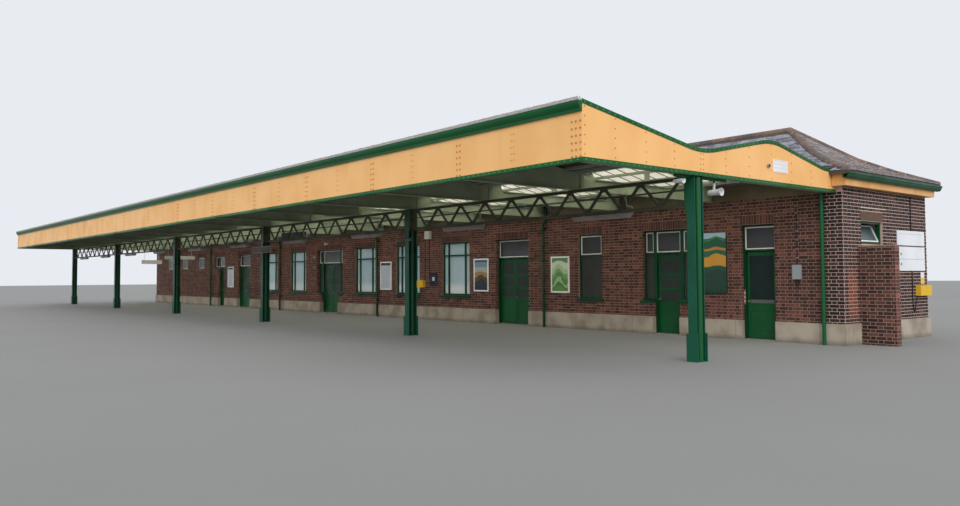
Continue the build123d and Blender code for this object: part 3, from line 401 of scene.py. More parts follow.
bmesh.ops.bevel(core, geom=core.edges[:], offset=0.0015, offset_type="OFFSET", **worn)
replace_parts(piece("screen_core", core, mortar, "brick"), "screen_wall")
face = laid(screen_front, screen_rear, 0, screen_top, [], 0, 9)
face[:, 4] -= 0.06
wall_of_bricks("screen_bricks_end", (11.4537, 0, 0), (0, 1, 0), (1, 0, 0), face, 0.001, screen_end)
on_edge = [(11.084 + 0.0375 * i, 1.243, 1.0748) for i in range(10)]
tones = np.linspace(0.35, 0.6, 10)
set_out("screen_bricks_top", fired, "brick", brick_shape(), on_edge, (0.0325, 0.078, 0.002), tones=tones)
for label, y, side, seed in (("front", screen_front, -1, 7), ("rear", screen_rear, 1, 8)):
    face = laid(x_near_end, screen_end, 0, screen_top, [], 0.08, seed)
    face[:, 4] -= 0.26
    face[:, 0] *= -side
    wall_of_bricks("screen_bricks_" + label, (0, y, 0), (-side, 0, 0), (0, side, 0), face, 0.001)


# Plinth and floor slab.
# The foot of the walls is faced with pale cement slabs, jointed upright every half metre
# and stained by rain, with painted shade along their foot where they meet the floor.
# The slab under the range is trowelled concrete.
cement = Finish("cement_slabs", Roughness=0.85)
grime = cement.rise(cement.noise(3.5, 5), 0.35, 0.7)
face_tint = cement.mix(grime, shade(174, 163, 148), shade(142, 130, 114))
slab_joint = ((cement.x + 0.13) % 0.52 < 0.006) + ((cement.y + 0.05) % 0.52 < 0.006) * (
    (cement.x > 11.08) + (cement.x < -11.32)
)
face_tint = cement.mix(0.6 * slab_joint, face_tint, shade(92, 84, 74))
# The slabs are darkened along their foot: painted shade where they meet the floor.
foot_shade = 1 - cement.rise(cement.z + 0.05 * cement.noise(12), 0.02, 0.1)
cement.feed("Base Color", cement.mix(0.6 * foot_shade, face_tint, shade(82, 78, 70)))
cement.relief(cement.noise(90, 5) - 0.6 * slab_joint, 0.002)
dress(cement, "plinths")
trowelled = Finish("trowelled_concrete", Roughness=0.8)
trowelled.feed("Base Color", trowelled.mix(trowelled.noise(5, 5), shade(120, 118, 112), shade(150, 147, 140)))
dress(trowelled, "floor_slab")


# Windows.
# Green timber frames with two thin mullions and a high transom, over a green sill, hold
# panes that are frosted pale blue. The small sashes over doors are white, and their glass,
# like the narrow window's, is painted dark: painted shade of the dim rooms behind.
def painted(name, colour, dull, gloss, streaks=0.3, grain=0.0, **more):
    """Gloss paint that has chalked in patches and run with rain."""
    coat = Finish(name, Roughness=gloss, Specular_IOR_Level=0.25, **more)
    patches = coat.rise(coat.noise(2.5, 4), 0.35, 0.75)
    runs = coat.rise(coat.noise(7, 4, (1, 1, 0.12)), 0.5, 0.72)
    tint = coat.mix(0.7 * patches, colour, dull)
    tint = coat.mix(streaks * runs, tint, tuple(0.45 * c for c in dull[:3]) + (1,))
    if grain:
        tint = coat.mix(grain * coat.noise(160, 3, (1, 1, 0.06)), tint, dull, "MULTIPLY")
    coat.feed("Base Color", tint)
    coat.feed("Roughness", gloss + 0.25 * patches)
    coat.relief(coat.noise(150, 3), 0.0004)
    return coat


joinery = painted("green_joinery", shade(12, 68, 38), shade(16, 58, 34), 0.3, 0.25, 0.15)
dress(joinery, "window_frames", "window_sills", "door_frames", "door_hinges")
white_paint = painted("pale_sashes", shade(240, 242, 236), shade(214, 216, 208), 0.4, 0.2)
dress(white_paint, "white_sashes")
frosted = Finish("frosted_panes", Roughness=0.22)
clouds = frosted.noise(1.8, 2, (1, 1, 0.5))
pale = frosted.mix(clouds, shade(148, 178, 194), shade(204, 226, 236))
pale = frosted.mix(frosted.within(frosted.z, 0.46, 0.62, 0.08), pale, shade(226, 232, 238))
over_doors = frosted.within(frosted.y, 0.93, 1.0)
narrow = frosted.within(frosted.x, 7.19, 7.65) * (frosted.y < 1.0)
# The glass over the doors and in the narrow window is painted dark grey: painted shade of the dim rooms seen
# through it.
room_shade = frosted.mix(frosted.noise(4, 2), shade(32, 32, 35), shade(58, 57, 60))
pale = frosted.mix(frosted.rise(over_doors + narrow, 0.4, 0.6), pale, room_shade)
end_panes = (frosted.x > 10.9) + (frosted.x < -7)
frosted.feed("Base Color", frosted.mix(end_panes, pale, shade(70, 84, 90)))
frosted.feed("Roughness", 0.3 - 0.18 * over_doors)
frosted.relief(frosted.noise(300), 0.0003)
dress(frosted, "window_glass")
dark_board = painted("dark_boards", shade(70, 70, 70), shade(58, 60, 58), 0.5, 0.2, 0.3)
dress(dark_board, "light_boards")


# Doors.
# Nine green leaves on butt hinges. The top panels are dark: three lights on most leaves,
# one tall panel on the near door. Each has a raised bead round its panels, and one leaf
# of each doorway has a knob.
def tinted(finish, *tints):
    """Paints parts of a finish in other colours, each a mask and a colour."""
    under = Value(finish, finish.shader.inputs["Base Color"].links[0].from_socket)
    for mask, colour in tints:
        under = finish.mix(mask, under, colour)
    finish.feed("Base Color", under)


leaf_paint = painted("green_doors", shade(14, 88, 46), shade(16, 74, 40), 0.28, 0.2, 0.12)
dark_panels = leaf_paint.within(leaf_paint.z, 0.431, 0.984, 0.001)
dark_panels = dark_panels * leaf_paint.within(leaf_paint.y, 0.9585, 0.9645)
mesh_blind = leaf_paint.mix(leaf_paint.noise(9, 3), shade(42, 49, 47), shade(54, 58, 57))
mesh_blind = leaf_paint.mix(leaf_paint.x > 9.7, mesh_blind, shade(14, 34, 36))
grey_foot = leaf_paint.within(leaf_paint.z, 0.42, 0.47, 0.001) * (leaf_paint.x > 9.7)
mesh_blind = leaf_paint.mix(grey_foot, mesh_blind, shade(98, 102, 100))
tinted(leaf_paint, (dark_panels, mesh_blind))
dress(leaf_paint, "near_door", "side_door", "far_door")
for room in ("waiting", "hall", "office"):
    dress(leaf_paint, room + "_door_far", room + "_door_near")


def turned(line, along, across):
    """A form turned on a lathe from points: distance from the axis, and place along it."""
    shape = bmesh.new()
    along, across = Vector(along), Vector(across)
    made = [shape.verts.new(across * radius + along * at) for radius, at in line]
    edges = [shape.edges.new(two) for two in zip(made[:-1], made[1:])]
    bmesh.ops.spin(
        shape, geom=made + edges, axis=along, cent=(0, 0, 0), angle=math.tau, steps=16, use_merge=True
    )
    bmesh.ops.remove_doubles(shape, verts=shape.verts, dist=0.0001)
    bmesh.ops.recalc_face_normals(shape, faces=shape.faces)
    return shape


knob_places = {
    "near_door": (9.874, 0.45),
    "side_door": (8.573, 0.45),
    "waiting_door_near": (5.789, 0.43),
    "hall_door_near": (-0.031, 0.43),
    "office_door_near": (-4.456, 0.43),
    "far_door": (-6.127, 0.45),
}
brass = painted("worn_brass", shade(176, 150, 92), shade(110, 96, 64), 0.3, 0.2, Metallic=0.8)
line = [(0.0, -0.022), (0.007, -0.0215), (0.0105, -0.017), (0.010, -0.013), (0.005, -0.009)]
line += [(0.005, -0.003), (0.012, -0.002), (0.013, 0.0)]
for leaf, (x, z) in knob_places.items():
    knob = turned(line, (0, 1, 0), (1, 0, 0))
    bmesh.ops.translate(knob, verts=knob.verts, vec=(x, 0.954, z))
    piece(leaf + "_knob", knob, brass, "hinge_steel", leaf)


# Roof.
# Welsh slates on a hipped roof whose foot is eased outwards. The ridge and hips are
# capped with round clay tiles, brown with lichen, and the eaves are boxed in buff boards.
profile = np.array([(0, 1.860), (0.3, 2.020), (0.55, 2.185), (1, 2.600)])
lichened = Finish("lichened_slate", Roughness=0.7)
tone = lichened.node("ShaderNodeAttribute", {"attribute_name": "tone"}, out="Fac")
blue = lichened.mix(tone, shade(78, 80, 94), shade(136, 138, 152))
blotches = lichened.rise(lichened.noise(5, 6), 0.5, 0.62)
on_end = (abs(lichened.x + 0.12) - 10.015) * 0.916 > abs(lichened.y - 1.929)
hipped = 0.12 + 0.8 * on_end
warm = lichened.mix(hipped * (0.45 + 0.55 * blotches), blue, shade(128, 104, 94))
spots = lichened.rise(lichened.noise(34, 3), 0.6, 0.66)
lichened.feed("Base Color", lichened.mix(0.8 * spots, warm, shade(206, 202, 186)))
lichened.relief(lichened.noise(120, 5), 0.002)
under_slate = Finish("slate_bed", Roughness=0.9)
under_slate.feed("Base Color", under_slate.mix(under_slate.noise(8), shade(58, 56, 58), shade(80, 76, 74)))
dress(under_slate, "roof_front", "roof_rear", "roof_near", "roof_far")
weathered = Finish("ridge_clay", Roughness=0.85)
baked = weathered.mix(weathered.rise(weathered.noise(6, 5), 0.4, 0.65), shade(86, 78, 74), shade(122, 98, 84))
spots = weathered.rise(weathered.noise(30, 4), 0.62, 0.7)
weathered.feed("Base Color", weathered.mix(0.55 * spots, baked, shade(186, 178, 156)))
weathered.relief(weathered.noise(80, 5), 0.002)
dress(weathered, "ridge_tiles")


def slate_rows(foot, run, along, length, cut, seed):
    """Rows of slates up one slope, from its eaves. Cut holds the two hips that end it."""
    chance = np.random.default_rng(seed)
    foot, run, along = Vector(foot), Vector(run), Vector(along)
    lengths = np.hypot(np.diff(profile[:, 0]) * run.length, np.diff(profile[:, 1]))
    marks = np.concatenate([[0], np.cumsum(lengths)])
    gauge, wide, lap = 0.1, 0.125, 1.12
    centres, turns, tones = [], [], []
    for row in range(int((marks[-1] - 0.02) / gauge)):
        low, high = row * gauge, min((row + lap) * gauge, marks[-1])
        ends_at = []
        for mark in (low, high):
            u, z = np.interp(mark, marks, profile[:, 0]), np.interp(mark, marks, profile[:, 1])
            ends_at.append(foot + run * float(u) + Vector((0, 0, float(z) - foot.z)))
        slope = (ends_at[1] - ends_at[0]).normalized()
        normal = along.cross(slope)
        ends_at[0] += normal * 0.0105
        ends_at[1] += normal * 0.0015
        slope = (ends_at[1] - ends_at[0]).normalized()
        normal = along.cross(slope)
        middle = (ends_at[0] + ends_at[1]) / 2
        for number in range(int(length / wide) + 2):
            across = along * ((number + 0.5 * (row % 2)) * wide)
            centres.append(middle + across + normal * chance.normal(0, 0.0006))
            turns.append(np.array(Matrix((along, slope, normal)).transposed()))
            tones.append(chance.random())
    mesh = copies("slates", brick_shape(), centres, (wide - 0.004, gauge * lap, 0.006), turns, tones)
    shape = bmesh.new()
    shape.from_mesh(mesh)
    bpy.data.meshes.remove(mesh)
    for spot, way in cut:
        every = shape.verts[:] + shape.edges[:] + shape.faces[:]
        bmesh.ops.bisect_plane(shape, geom=every, plane_co=spot, plane_no=way, clear_outer=True)
    return shape


eaves_z, x_near, x_far, y_front, y_rear = 1.86, 11.2, -11.44, 0.734, 3.124
hip_run, slope_run = 1.305, 1.195
hips = {
    ("near", "front"): ((x_near, y_front, 0), (slope_run, hip_run, 0)),
    ("near", "rear"): ((x_near, y_rear, 0), (slope_run, -hip_run, 0)),
    ("far", "front"): ((x_far, y_front, 0), (-slope_run, hip_run, 0)),
    ("far", "rear"): ((x_far, y_rear, 0), (-slope_run, -hip_run, 0)),
}


def hip_cut(end, side, keep_side):
    """The plane over one hip, facing away from the slope that is kept."""
    spot, way = hips[end, side]
    way = Vector(way).normalized()
    return Vector(spot), way if keep_side else -way


for side, y, way, along, start in (
    ("front", y_front, 1, (1, 0, 0), x_far),
    ("rear", y_rear, -1, (-1, 0, 0), x_near),
):
    cut = [hip_cut("near", side, True), hip_cut("far", side, True)]
    shape = slate_rows((start, y, eaves_z), (0, way * slope_run, 0), along, x_near - x_far, cut, 11)
    if side == "front":
        middles = [(f, f.calc_center_median()) for f in shape.faces]
        over_canopy = [f for f, spot in middles if spot.y < 0.875 and -11.24 < spot.x < 11.0]
        bmesh.ops.delete(shape, geom=over_canopy, context="FACES")
    piece(side + "_slates", shape, lichened, "slate")
for end, x, way, along, start in (
    ("near", x_near, -1, (0, 1, 0), y_front),
    ("far", x_far, 1, (0, -1, 0), y_rear),
):
    cut = [hip_cut(end, "front", False), hip_cut(end, "rear", False)]
    shape = slate_rows((x, start, eaves_z), (way * hip_run, 0, 0), along, y_rear - y_front, cut, 12)
    piece(end + "_slates", shape, lichened, "slate")
buff_boards = painted("buff_boards", shade(240, 184, 118), shade(222, 166, 100), 0.4, 0.25, 0.1)
dress(buff_boards, "eaves_near", "eaves_far", "eaves_rear", "eaves_front")
gutter_paint = painted("green_gutters", shade(18, 82, 48), shade(24, 72, 44), 0.3, 0.3)
dress(gutter_paint, "end_gutters", "rear_gutter")


# Columns and girders.
# Rolled steel: H-section columns on shoe plates carry lattice girders of angles, whose
# braces meet at small gusset plates with rivets.
teal = painted("teal_columns", shade(14, 84, 62), shade(18, 74, 54), 0.25, 0.25)
dress(teal, "columns", "foot_plates")
pipe_paint = painted("green_pipes", shade(18, 88, 48), shade(24, 78, 46), 0.25, 0.25)
# Pipes short of the near end are darkened: painted shade under the canopy.
tinted(pipe_paint, (0.6 * (pipe_paint.x < 10), shade(14, 42, 28)))
dress(pipe_paint, "rain_pipes", "downpipes", "valley_outlets")
dark_steel = painted("dark_girders", shade(68, 72, 52), shade(56, 59, 43), 0.4, 0.3)
dress(dark_steel, "lattice_girders")
bay_length, brace_pitch, column_y = 4.42, 0.45889, -1.579
column_x = [-11.17 + bay_length * i for i in range(6)]


def rivet_shape():
    """A snap head: half a ball with its foot on z = 0."""
    shape = bmesh.new()
    bmesh.ops.create_uvsphere(shape, u_segments=8, v_segments=4, radius=0.5)
    low = [v for v in shape.verts if v.co.z < -0.01]
    bmesh.ops.delete(shape, geom=low, context="VERTS")
    return shape


looks_front = np.array(((1, 0, 0), (0, 0, -1), (0, 1, 0)), float)
looks_near = np.array(((0, 0, 1), (1, 0, 0), (0, 1, 0)), float)
spots = []
for x in column_x[:-1]:
    for number in range(10):
        for z in (1.385, 1.63):
            for dx in (-0.012, 0.012):
                spots.append((x + 0.145 + number * 0.4589 + dx, -1.602, z))
set_out("girder_rivets", dark_steel, "steel_dark", rivet_shape(), spots, (0.012, 0.012, 0.008), looks_front)


def gusset_shape():
    """A small plate with its four corners cut. Its face looks along z."""
    shape = bmesh.new()
    bmesh.ops.create_cube(shape, size=1)
    upright_edges = [e for e in shape.edges if abs((e.verts[0].co - e.verts[1].co).z) > 0.5]
    cut = {"affect": "EDGES", "segments": 1, "profile": 0.5, "material": -1}
    bmesh.ops.bevel(shape, geom=upright_edges, offset=0.22, offset_type="OFFSET", **cut)
    return shape


top_chord, foot_chord, half_brace = 1.6305, 1.3845, 0.22944
legs, leg_sizes, leg_turns, plates, plate_rivets = [], [], [], [], []
for x in column_x[:-1]:
    for number in range(10):
        top_x = x + 0.145 + number * brace_pitch
        for side, y in ((-1, -1.5865), (1, -1.5715)):
            plates.append((min(max(top_x, x + 0.16), x + 4.26), y + side * 0.0025, 1.612))
            if number < 9:
                plates.append((top_x + half_brace, y + side * 0.0025, 1.403))
            for foot_x in (top_x - half_brace, top_x + half_brace):
                if not x + 0.14 < foot_x < x + 4.28:
                    continue
                along = Vector((foot_x - top_x, 0, foot_chord - top_chord))
                reach = along.length
                along.normalize()
                out = Vector((0, side, 0))
                legs.append(((foot_x + top_x) / 2, y, 1.5075))
                leg_sizes.append((reach - 0.03, 0.028, 0.004))
                leg_turns.append(np.array(Matrix((along, out.cross(along), out)).transposed()))
for plate_x, y, z in plates:
    for dx, dz in ((-0.022, 0.006), (0, -0.006), (0.022, 0.006)):
        if y < column_y:
            plate_rivets.append((plate_x + dx, y - 0.0019, z + dz))
set_out("girder_angles", dark_steel, "steel_dark", plank_shape(), legs, leg_sizes, leg_turns)
for label, unit, spots, sizes in (
    ("girder_gussets", gusset_shape(), plates, (0.078, 0.044, 0.004)),
    ("gusset_rivets", rivet_shape(), plate_rivets, (0.010, 0.010, 0.007)),
):
    set_out(label, dark_steel, "steel_dark", unit, spots, sizes, looks_front)


# Canopy ribs, deck and glazing.
# Sixteen pale green plate ribs, deep under the boarded deck on the track side and shallow
# ties behind the valley. There a post and two rafters carry slopes of wired glass in bars.
pale_green = painted("pale_ribs", shade(152, 164, 138), shade(132, 142, 114), 0.5, 0.2)
dress(pale_green, "purlins")
khaki = painted("khaki_bearer", shade(110, 99, 77), shade(90, 81, 61), 0.5, 0.25)
dress(khaki, "wall_bearer")
stained = painted("stained_deck", shade(92, 68, 52), shade(66, 52, 42), 0.7, 0.2, 0.3)
dress(stained, "front_deck")
# The wired glass glows faintly cream: painted light standing for daylight scattered through it.
painted_glow = {"Emission_Color": shade(250, 248, 226), "Emission_Strength": 0.19}
wired = Finish("wired_glass", Roughness=0.75, Alpha=0.8, Transmission_Weight=0.9, IOR=1.2, **painted_glow)
mesh_lines = ((wired.x % 0.02) < 0.0012) + ((wired.y % 0.02) < 0.0012)
wired.feed("Base Color", wired.mix(0.25 * mesh_lines, shade(252, 248, 232), shade(180, 182, 172)))
wired.relief(wired.noise(200), 0.0005)
dress(wired, "canopy_glass")
zinc = painted("dull_zinc", shade(132, 136, 134), shade(112, 116, 114), 0.55, 0.3, 0, Metallic=0.2)
dress(zinc, "crest_capping", "canopy_gutters")

rib_x = [-11.17 + rib * 1.4733 for rib in range(16)]
section = [(0, 2.125), (1.45, 1.888), (1.65, 1.888), (2.7, 2.096), (3.735, 1.893), (3.958, 1.893)]
y_fascia = -3.089


def under_slope(low, high, drop, spacing, first):
    """Places under the deck or glass between two distances from the fascia, and the slope there."""
    runs = zip(section[:-1], section[1:])
    (a, za), (b, zb) = [run for run in runs if run[0][0] <= low + 0.02 < run[1][0]][0]
    tilt = math.atan2(zb - za, b - a)
    spots = []
    at = low + first
    while at < high:
        spots.append((y_fascia + at, za + (zb - za) * (at - a) / (b - a) - drop))
        at += spacing
    return spots, tilt


def roof_line(back, drop):
    """Height of a line that lies a drop below the roof, at a distance from the fascia."""
    return float(np.interp(back, *zip(*section))) - drop


def roof_strip(start, stop, top, bottom):
    """Outline between two lines that follow the roof at two drops."""
    backs = [start] + [back for back, z in section if start < back < stop] + [stop]
    upper = [(back, roof_line(back, top)) for back in backs]
    return upper + [(back, roof_line(back, bottom)) for back in reversed(backs)]


def add_plate(shape, outline, x, thick):
    """Adds an upright plate, its outline in distances from the fascia and heights."""
    flat = shape.faces.new([shape.verts.new((x - thick / 2, y_fascia + back, z)) for back, z in outline])
    grown = bmesh.ops.extrude_face_region(shape, geom=[flat])["geom"]
    moved = [part for part in grown if isinstance(part, bmesh.types.BMVert)]
    bmesh.ops.translate(shape, verts=moved, vec=(thick, 0, 0))


rib_drop, rib_foot, rib_front, rib_back = 0.060, 1.645, 0.005, 3.943
web, flange, flange_t = 0.005, 0.060, 0.006
tie_top = rib_foot + 0.130
deep_end, tie_start, tie_end, wall_foot = 1.79, 1.83, 3.68, 3.735
crest, half_post = 2.7, 0.045
ribs = bmesh.new()
for x in rib_x:
    outline = [(back, roof_line(back, rib_drop)) for back in (rib_front, 1.45, 1.65, deep_end)]
    outline += [(tie_start, tie_top), (tie_end, tie_top), (wall_foot, roof_line(wall_foot, rib_drop))]
    outline += [(rib_back, roof_line(rib_back, rib_drop)), (rib_back, rib_foot), (rib_front, rib_foot)]
    add_plate(ribs, outline, x, web)
    add_plate(ribs, roof_strip(rib_front, deep_end, rib_drop, rib_drop + flange_t), x, flange)
    add_plate(ribs, roof_strip(wall_foot, rib_back, rib_drop, rib_drop + flange_t), x, flange)
    add_plate(ribs, roof_strip(deep_end - 0.02, wall_foot + 0.005, rib_drop, rib_drop + 0.016), x, 0.020)
    for start, stop, z in ((tie_start, tie_end, tie_top - flange_t), (rib_front, rib_back, rib_foot)):
        add_plate(ribs, [(start, z), (start, z + flange_t), (stop, z + flange_t), (stop, z)], x, flange)
    post = [(crest + d, roof_line(crest + d, rib_drop + 0.008)) for d in (-half_post, 0, half_post)]
    add_plate(ribs, [(crest - half_post, tie_top)] + post + [(crest + half_post, tie_top)], x, web)
    stiffener = [(back, roof_line(back, rib_drop)) for back in (1.6, 1.63)]
    add_plate(ribs, [(1.6, rib_foot)] + stiffener + [(1.63, rib_foot)], x, 0.03)
bmesh.ops.recalc_face_normals(ribs, faces=ribs.faces)
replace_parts(piece("plate_ribs", ribs, pale_green, "steel_pale"), "canopy_ribs")

planks = []
spots, tilt = under_slope(0.0, 1.44, 0.0335, 0.066, 0.04)
lean = Matrix.Rotation(tilt, 3, "X") @ Matrix(((1, 0, 0), (0, -1, 0), (0, 0, -1)))
for y, z in spots:
    for bay in range(15):
        planks.append((-10.4333 + bay * 1.4733, y, z))
board_size = (1.466, 0.063, 0.004)
set_out("soffit_boards", stained, "deck_timber", plank_shape(), planks, board_size, np.array(lean))
bars, bar_sizes, bar_turns = [], [], []
for low, high in ((1.66, 2.66), (2.74, 3.72)):
    spots, tilt = under_slope(low, high, 0.032, 10, 0.02)
    length = (high - low) / math.cos(tilt)
    turn = Matrix.Rotation(tilt, 3, "X")
    middle = Vector((0, *spots[0])) + turn @ Vector((0, length / 2 - 0.02, 0.0015))
    for x in np.arange(-11.07, 10.98, 0.19):
        bars.append((x, middle.y, middle.z))
        bar_sizes.append((0.008, length - 0.02, 0.014))
        bar_turns.append(np.array(turn))
set_out("glazing_bars", stained, "steel_pale", plank_shape(), bars, bar_sizes, bar_turns)


# Fascias.
# Buff steel plates, riveted over the ribs in bold double rows with lighter rows between,
# and single rows on the ends. Green angles are bolted to the foot and along the end tops.
buff = painted("buff_fascia", shade(246, 190, 122), shade(236, 178, 110), 0.4, 0.08)
dress(buff, "front_fascia", "end_fascias")
# The rivet heads are a darker buff than the plates: painted shade round each head.
painted_shade_rivet = painted("buff_rivets_painted_shade", shade(212, 146, 82), shade(184, 118, 64), 0.4, 0.1)
shaded_rivet = painted("shaded_rivets", shade(198, 140, 82), shade(180, 122, 70), 0.4, 0.1)
trim = painted("green_trim", shade(12, 92, 42), shade(16, 80, 38), 0.3, 0.2)
dress(trim, "front_angle", "end_angles", "end_copings")
# The bolt heads are a paler green than the angles: painted highlight on each head.
painted_highlight_bolt = painted("bolts_painted_highlight", shade(88, 142, 84), shade(62, 118, 64), 0.4, 0.1)
bold, light = [], []
for rib, x in enumerate(rib_x[:-1] + [10.952]):
    for z in (1.684, 1.737, 1.791, 1.846, 1.902, 1.958):
        bold += [(x + dx, y_fascia, z) for dx in (-0.023, 0.023)]
        if rib < 15 and z > 1.7:
            light += [(x + dx + 0.7367, y_fascia, z) for dx in (-0.017, 0.017)]
        if rib == 15:
            bold.append((x - 0.067, y_fascia, z))
for label, spots, sizes in (("bold", bold, (0.021, 0.021, 0.017)), ("light", light, (0.013, 0.013, 0.011))):
    set_out("fascia_rivets_" + label, painted_shade_rivet, "steel_buff", rivet_shape(), spots, sizes, looks_front)


def eased(points, radius):
    """A line through the points whose inner corners are turned on arcs."""
    line = [Vector(points[0])]
    for before, corner, after in zip(points[:-2], points[1:-1], points[2:]):
        before, corner, after = Vector(before), Vector(corner), Vector(after)
        into, out_of = (corner - before).normalized(), (after - corner).normalized()
        bend = into.angle(out_of)
        back = radius * math.tan(bend / 2)
        start, stop = corner - into * back, corner + out_of * back
        for step in range(7):
            t = step / 6
            line.append((1 - t) ** 2 * start + 2 * t * (1 - t) * corner + t**2 * stop)
    return line + [Vector(points[-1])]


top_line = eased(section, 1.0)
steps = [(q - p).length for p, q in zip(top_line[:-1], top_line[1:])]
top_marks = np.concatenate([[0], np.cumsum(steps)])
bolt_count, bolt_size = 56, (0.017, 0.017, 0.009)
for label, x, side in (("near", 10.99, 1), ("far", -11.23, -1)):
    turn = looks_near if side > 0 else np.array(((0, 0, -1), (-1, 0, 0), (0, 1, 0)), float)
    spots = []
    for back in (0.03, 0.385, 0.77, 1.15, 1.525, 1.565, 1.915, 2.3, 2.69, 3.065, 3.45, 3.825):
        top = float(np.interp(back, [p.x for p in top_line], [p.y for p in top_line])) - 0.05
        row = np.linspace(1.70, top, max(4, round((top - 1.7) / 0.066)))
        spots += [(x, y_fascia + back, z) for z in row]
    rivet_size = (0.014, 0.014, 0.010)
    set_out(label + "_fascia_rivets", shaded_rivet, "steel_buff", rivet_shape(), spots, rivet_size, turn)
    lips, lip_turns, heads, foot_heads = [], [], [], []
    pitch = top_marks[-1] / bolt_count
    for number in range(bolt_count):
        marks = [(number + f) * pitch for f in (0, 1)]
        at = [np.interp(mark, top_marks, [p[k] for p in top_line]) for mark in marks for k in (0, 1)]
        tilt = math.atan2(at[3] - at[1], at[2] - at[0])
        run = Vector((0, math.cos(tilt), math.sin(tilt)))
        out = Vector((side, 0, 0))
        drop = out.cross(run) * side
        middle = Vector((x, y_fascia + (at[0] + at[2]) / 2, (at[1] + at[3]) / 2))
        middle -= Vector((0, -math.sin(tilt), math.cos(tilt))) * 0.0185
        lips.append(middle + out * 0.0012)
        lip_turns.append(np.array(Matrix((run * side, out.cross(run * side), out)).transposed()))
        heads.append(middle + out * 0.0032)
        foot_heads.append((x + side * 0.0034, y_fascia + 0.04 + number * 0.0705, 1.656))
    plate_at = [(x + side * 0.0012, -1.11, 1.6585)]
    for part, finish, unit, spots, sizes, turns in (
        ("_coping_angle", trim, plank_shape(), lips, (pitch * 1.02, 0.035, 0.0045), lip_turns),
        ("_coping_bolts", painted_highlight_bolt, rivet_shape(), heads, bolt_size, turn),
        ("_foot_plate", trim, plank_shape(), plate_at, (3.955, 0.036, 0.0045), turn),
        ("_foot_bolts", painted_highlight_bolt, rivet_shape(), foot_heads, bolt_size, turn),
    ):
        set_out(label + part, finish, "steel_green", unit, spots, sizes, turns)
foot = [(x, -3.0938, 1.656) for x in np.arange(-11.19, 10.98, 0.0705)]
bolt_size = (0.016, 0.016, 0.010)
set_out("front_foot_bolts", painted_highlight_bolt, "steel_green", rivet_shape(), foot, bolt_size, looks_front)


# Deck covering.
# Grey felt dressed with stone chippings covers the deck, and its rough edge is turned over
# the top of the green moulding along the track side.
moulding = painted("green_moulding", shade(14, 92, 48), shade(18, 82, 44), 0.42, 0.2)
felt_edge = moulding.rise(moulding.z + 0.006 * (moulding.noise(60, 4) - 0.5), 2.1075, 2.1095)
stony = moulding.rise(moulding.noise(260, 2), 0.45, 0.55)
specks = moulding.mix(stony, shade(108, 104, 104), shade(214, 210, 204))
tinted(moulding, (felt_edge, specks))
moulding.feed("Roughness", 0.35 + 0.55 * felt_edge)
dress(moulding, "front_capping")
chippings = Finish("stone_chippings", Roughness=0.95)
tone = chippings.node("ShaderNodeAttribute", {"attribute_name": "tone"}, out="Fac")
chippings.feed("Base Color", chippings.mix(tone, shade(92, 88, 88), shade(222, 218, 210)))
chippings.relief(chippings.noise(500), 0.001)


def stone_shape():
    """A chipping: a ball of twenty flat faces."""
    shape = bmesh.new()
    bmesh.ops.create_icosphere(shape, subdivisions=1, radius=0.5)
    bmesh.ops.dissolve_limit(shape, angle_limit=0.1, verts=shape.verts, edges=shape.edges)
    return shape


chance = np.random.default_rng(21)
count = 4200
stones = [chance.uniform(-11.225, 10.985, count), chance.uniform(-3.128, -3.095, count)]
stones = np.stack(stones + [chance.normal(2.136, 0.002, count)], 1)
sizes = chance.uniform(0.006, 0.016, (count, 1)) * chance.uniform(0.7, 1.2, (count, 3))
tones = chance.random(count)
set_out("deck_chippings", chippings, "deck_timber", stone_shape(), stones, sizes, tones=tones)


# Signs and posters.
# Enamelled plates and framed sheets, bare of words: pale plates on the end wall, a hanging
# board on a column, and printed sheets with plain landscapes behind the wall frames.
enamel = painted("sign_enamel", shade(232, 234, 238), shade(216, 218, 222), 0.25, 0.08)
plate_z = enamel.within(enamel.z, 1.085, 1.1, 0.0015)
lines = enamel.within(enamel.z, 0.935, 0.94, 0.001) + enamel.within(enamel.z, 1.235, 1.238, 0.001)
spots = enamel.within(enamel.z, 0.985, 1.012, 0.001) + enamel.within(enamel.z, 0.865, 0.892, 0.001)
faint_lines = enamel.within(enamel.z % 0.036, 0.012, 0.017)
notice = enamel.within(enamel.y, 2.794, 2.894) * enamel.within(enamel.z, 0.5, 0.715)
tinted(
    enamel,
    (plate_z, shade(40, 42, 46)),
    (lines * enamel.within(enamel.y, 2.2, 2.87), shade(150, 154, 160)),
    (spots * enamel.within(enamel.y, 2.235, 2.262), shade(38, 40, 46)),
    (notice, shade(214, 190, 90)),
    (enamel.within(enamel.x, 3.5, 3.9), shade(14, 24, 52)),
    (enamel.within(enamel.x, 3.66, 3.725) * enamel.within(enamel.z, 0.69, 0.755), shade(214, 220, 228)),
    (enamel.within(enamel.y, -0.355, -0.113) * faint_lines, shade(228, 196, 190)),
)
dress(enamel, "wall_signs")
hung = painted("hanging_enamel", shade(206, 206, 200), shade(188, 188, 182), 0.3, 0.1)
rim = 1 - hung.within(hung.z, 1.197, 1.293) * hung.within(hung.x, 1.713, 2.467)
tinted(
    hung,
    (hung.within(hung.x, 1.6, 2.6), shade(44, 40, 28)),
    (hung.within(hung.x, 1.6, 2.6) * rim, shade(138, 128, 100)),
    (hung.within(hung.x, 0.2, 1.2), shade(44, 46, 46)),
)
dress(hung, "hanging_signs")
frames = painted("white_frames", shade(248, 248, 248), shade(230, 230, 228), 0.35, 0.1)
tinted(frames, (frames.x > 9.0, shade(14, 62, 40)))
dress(frames, "poster_boards")
notice_grey, notice_head = shade(196, 206, 220), ((0.9, 0.0, shade(52, 54, 60)),)
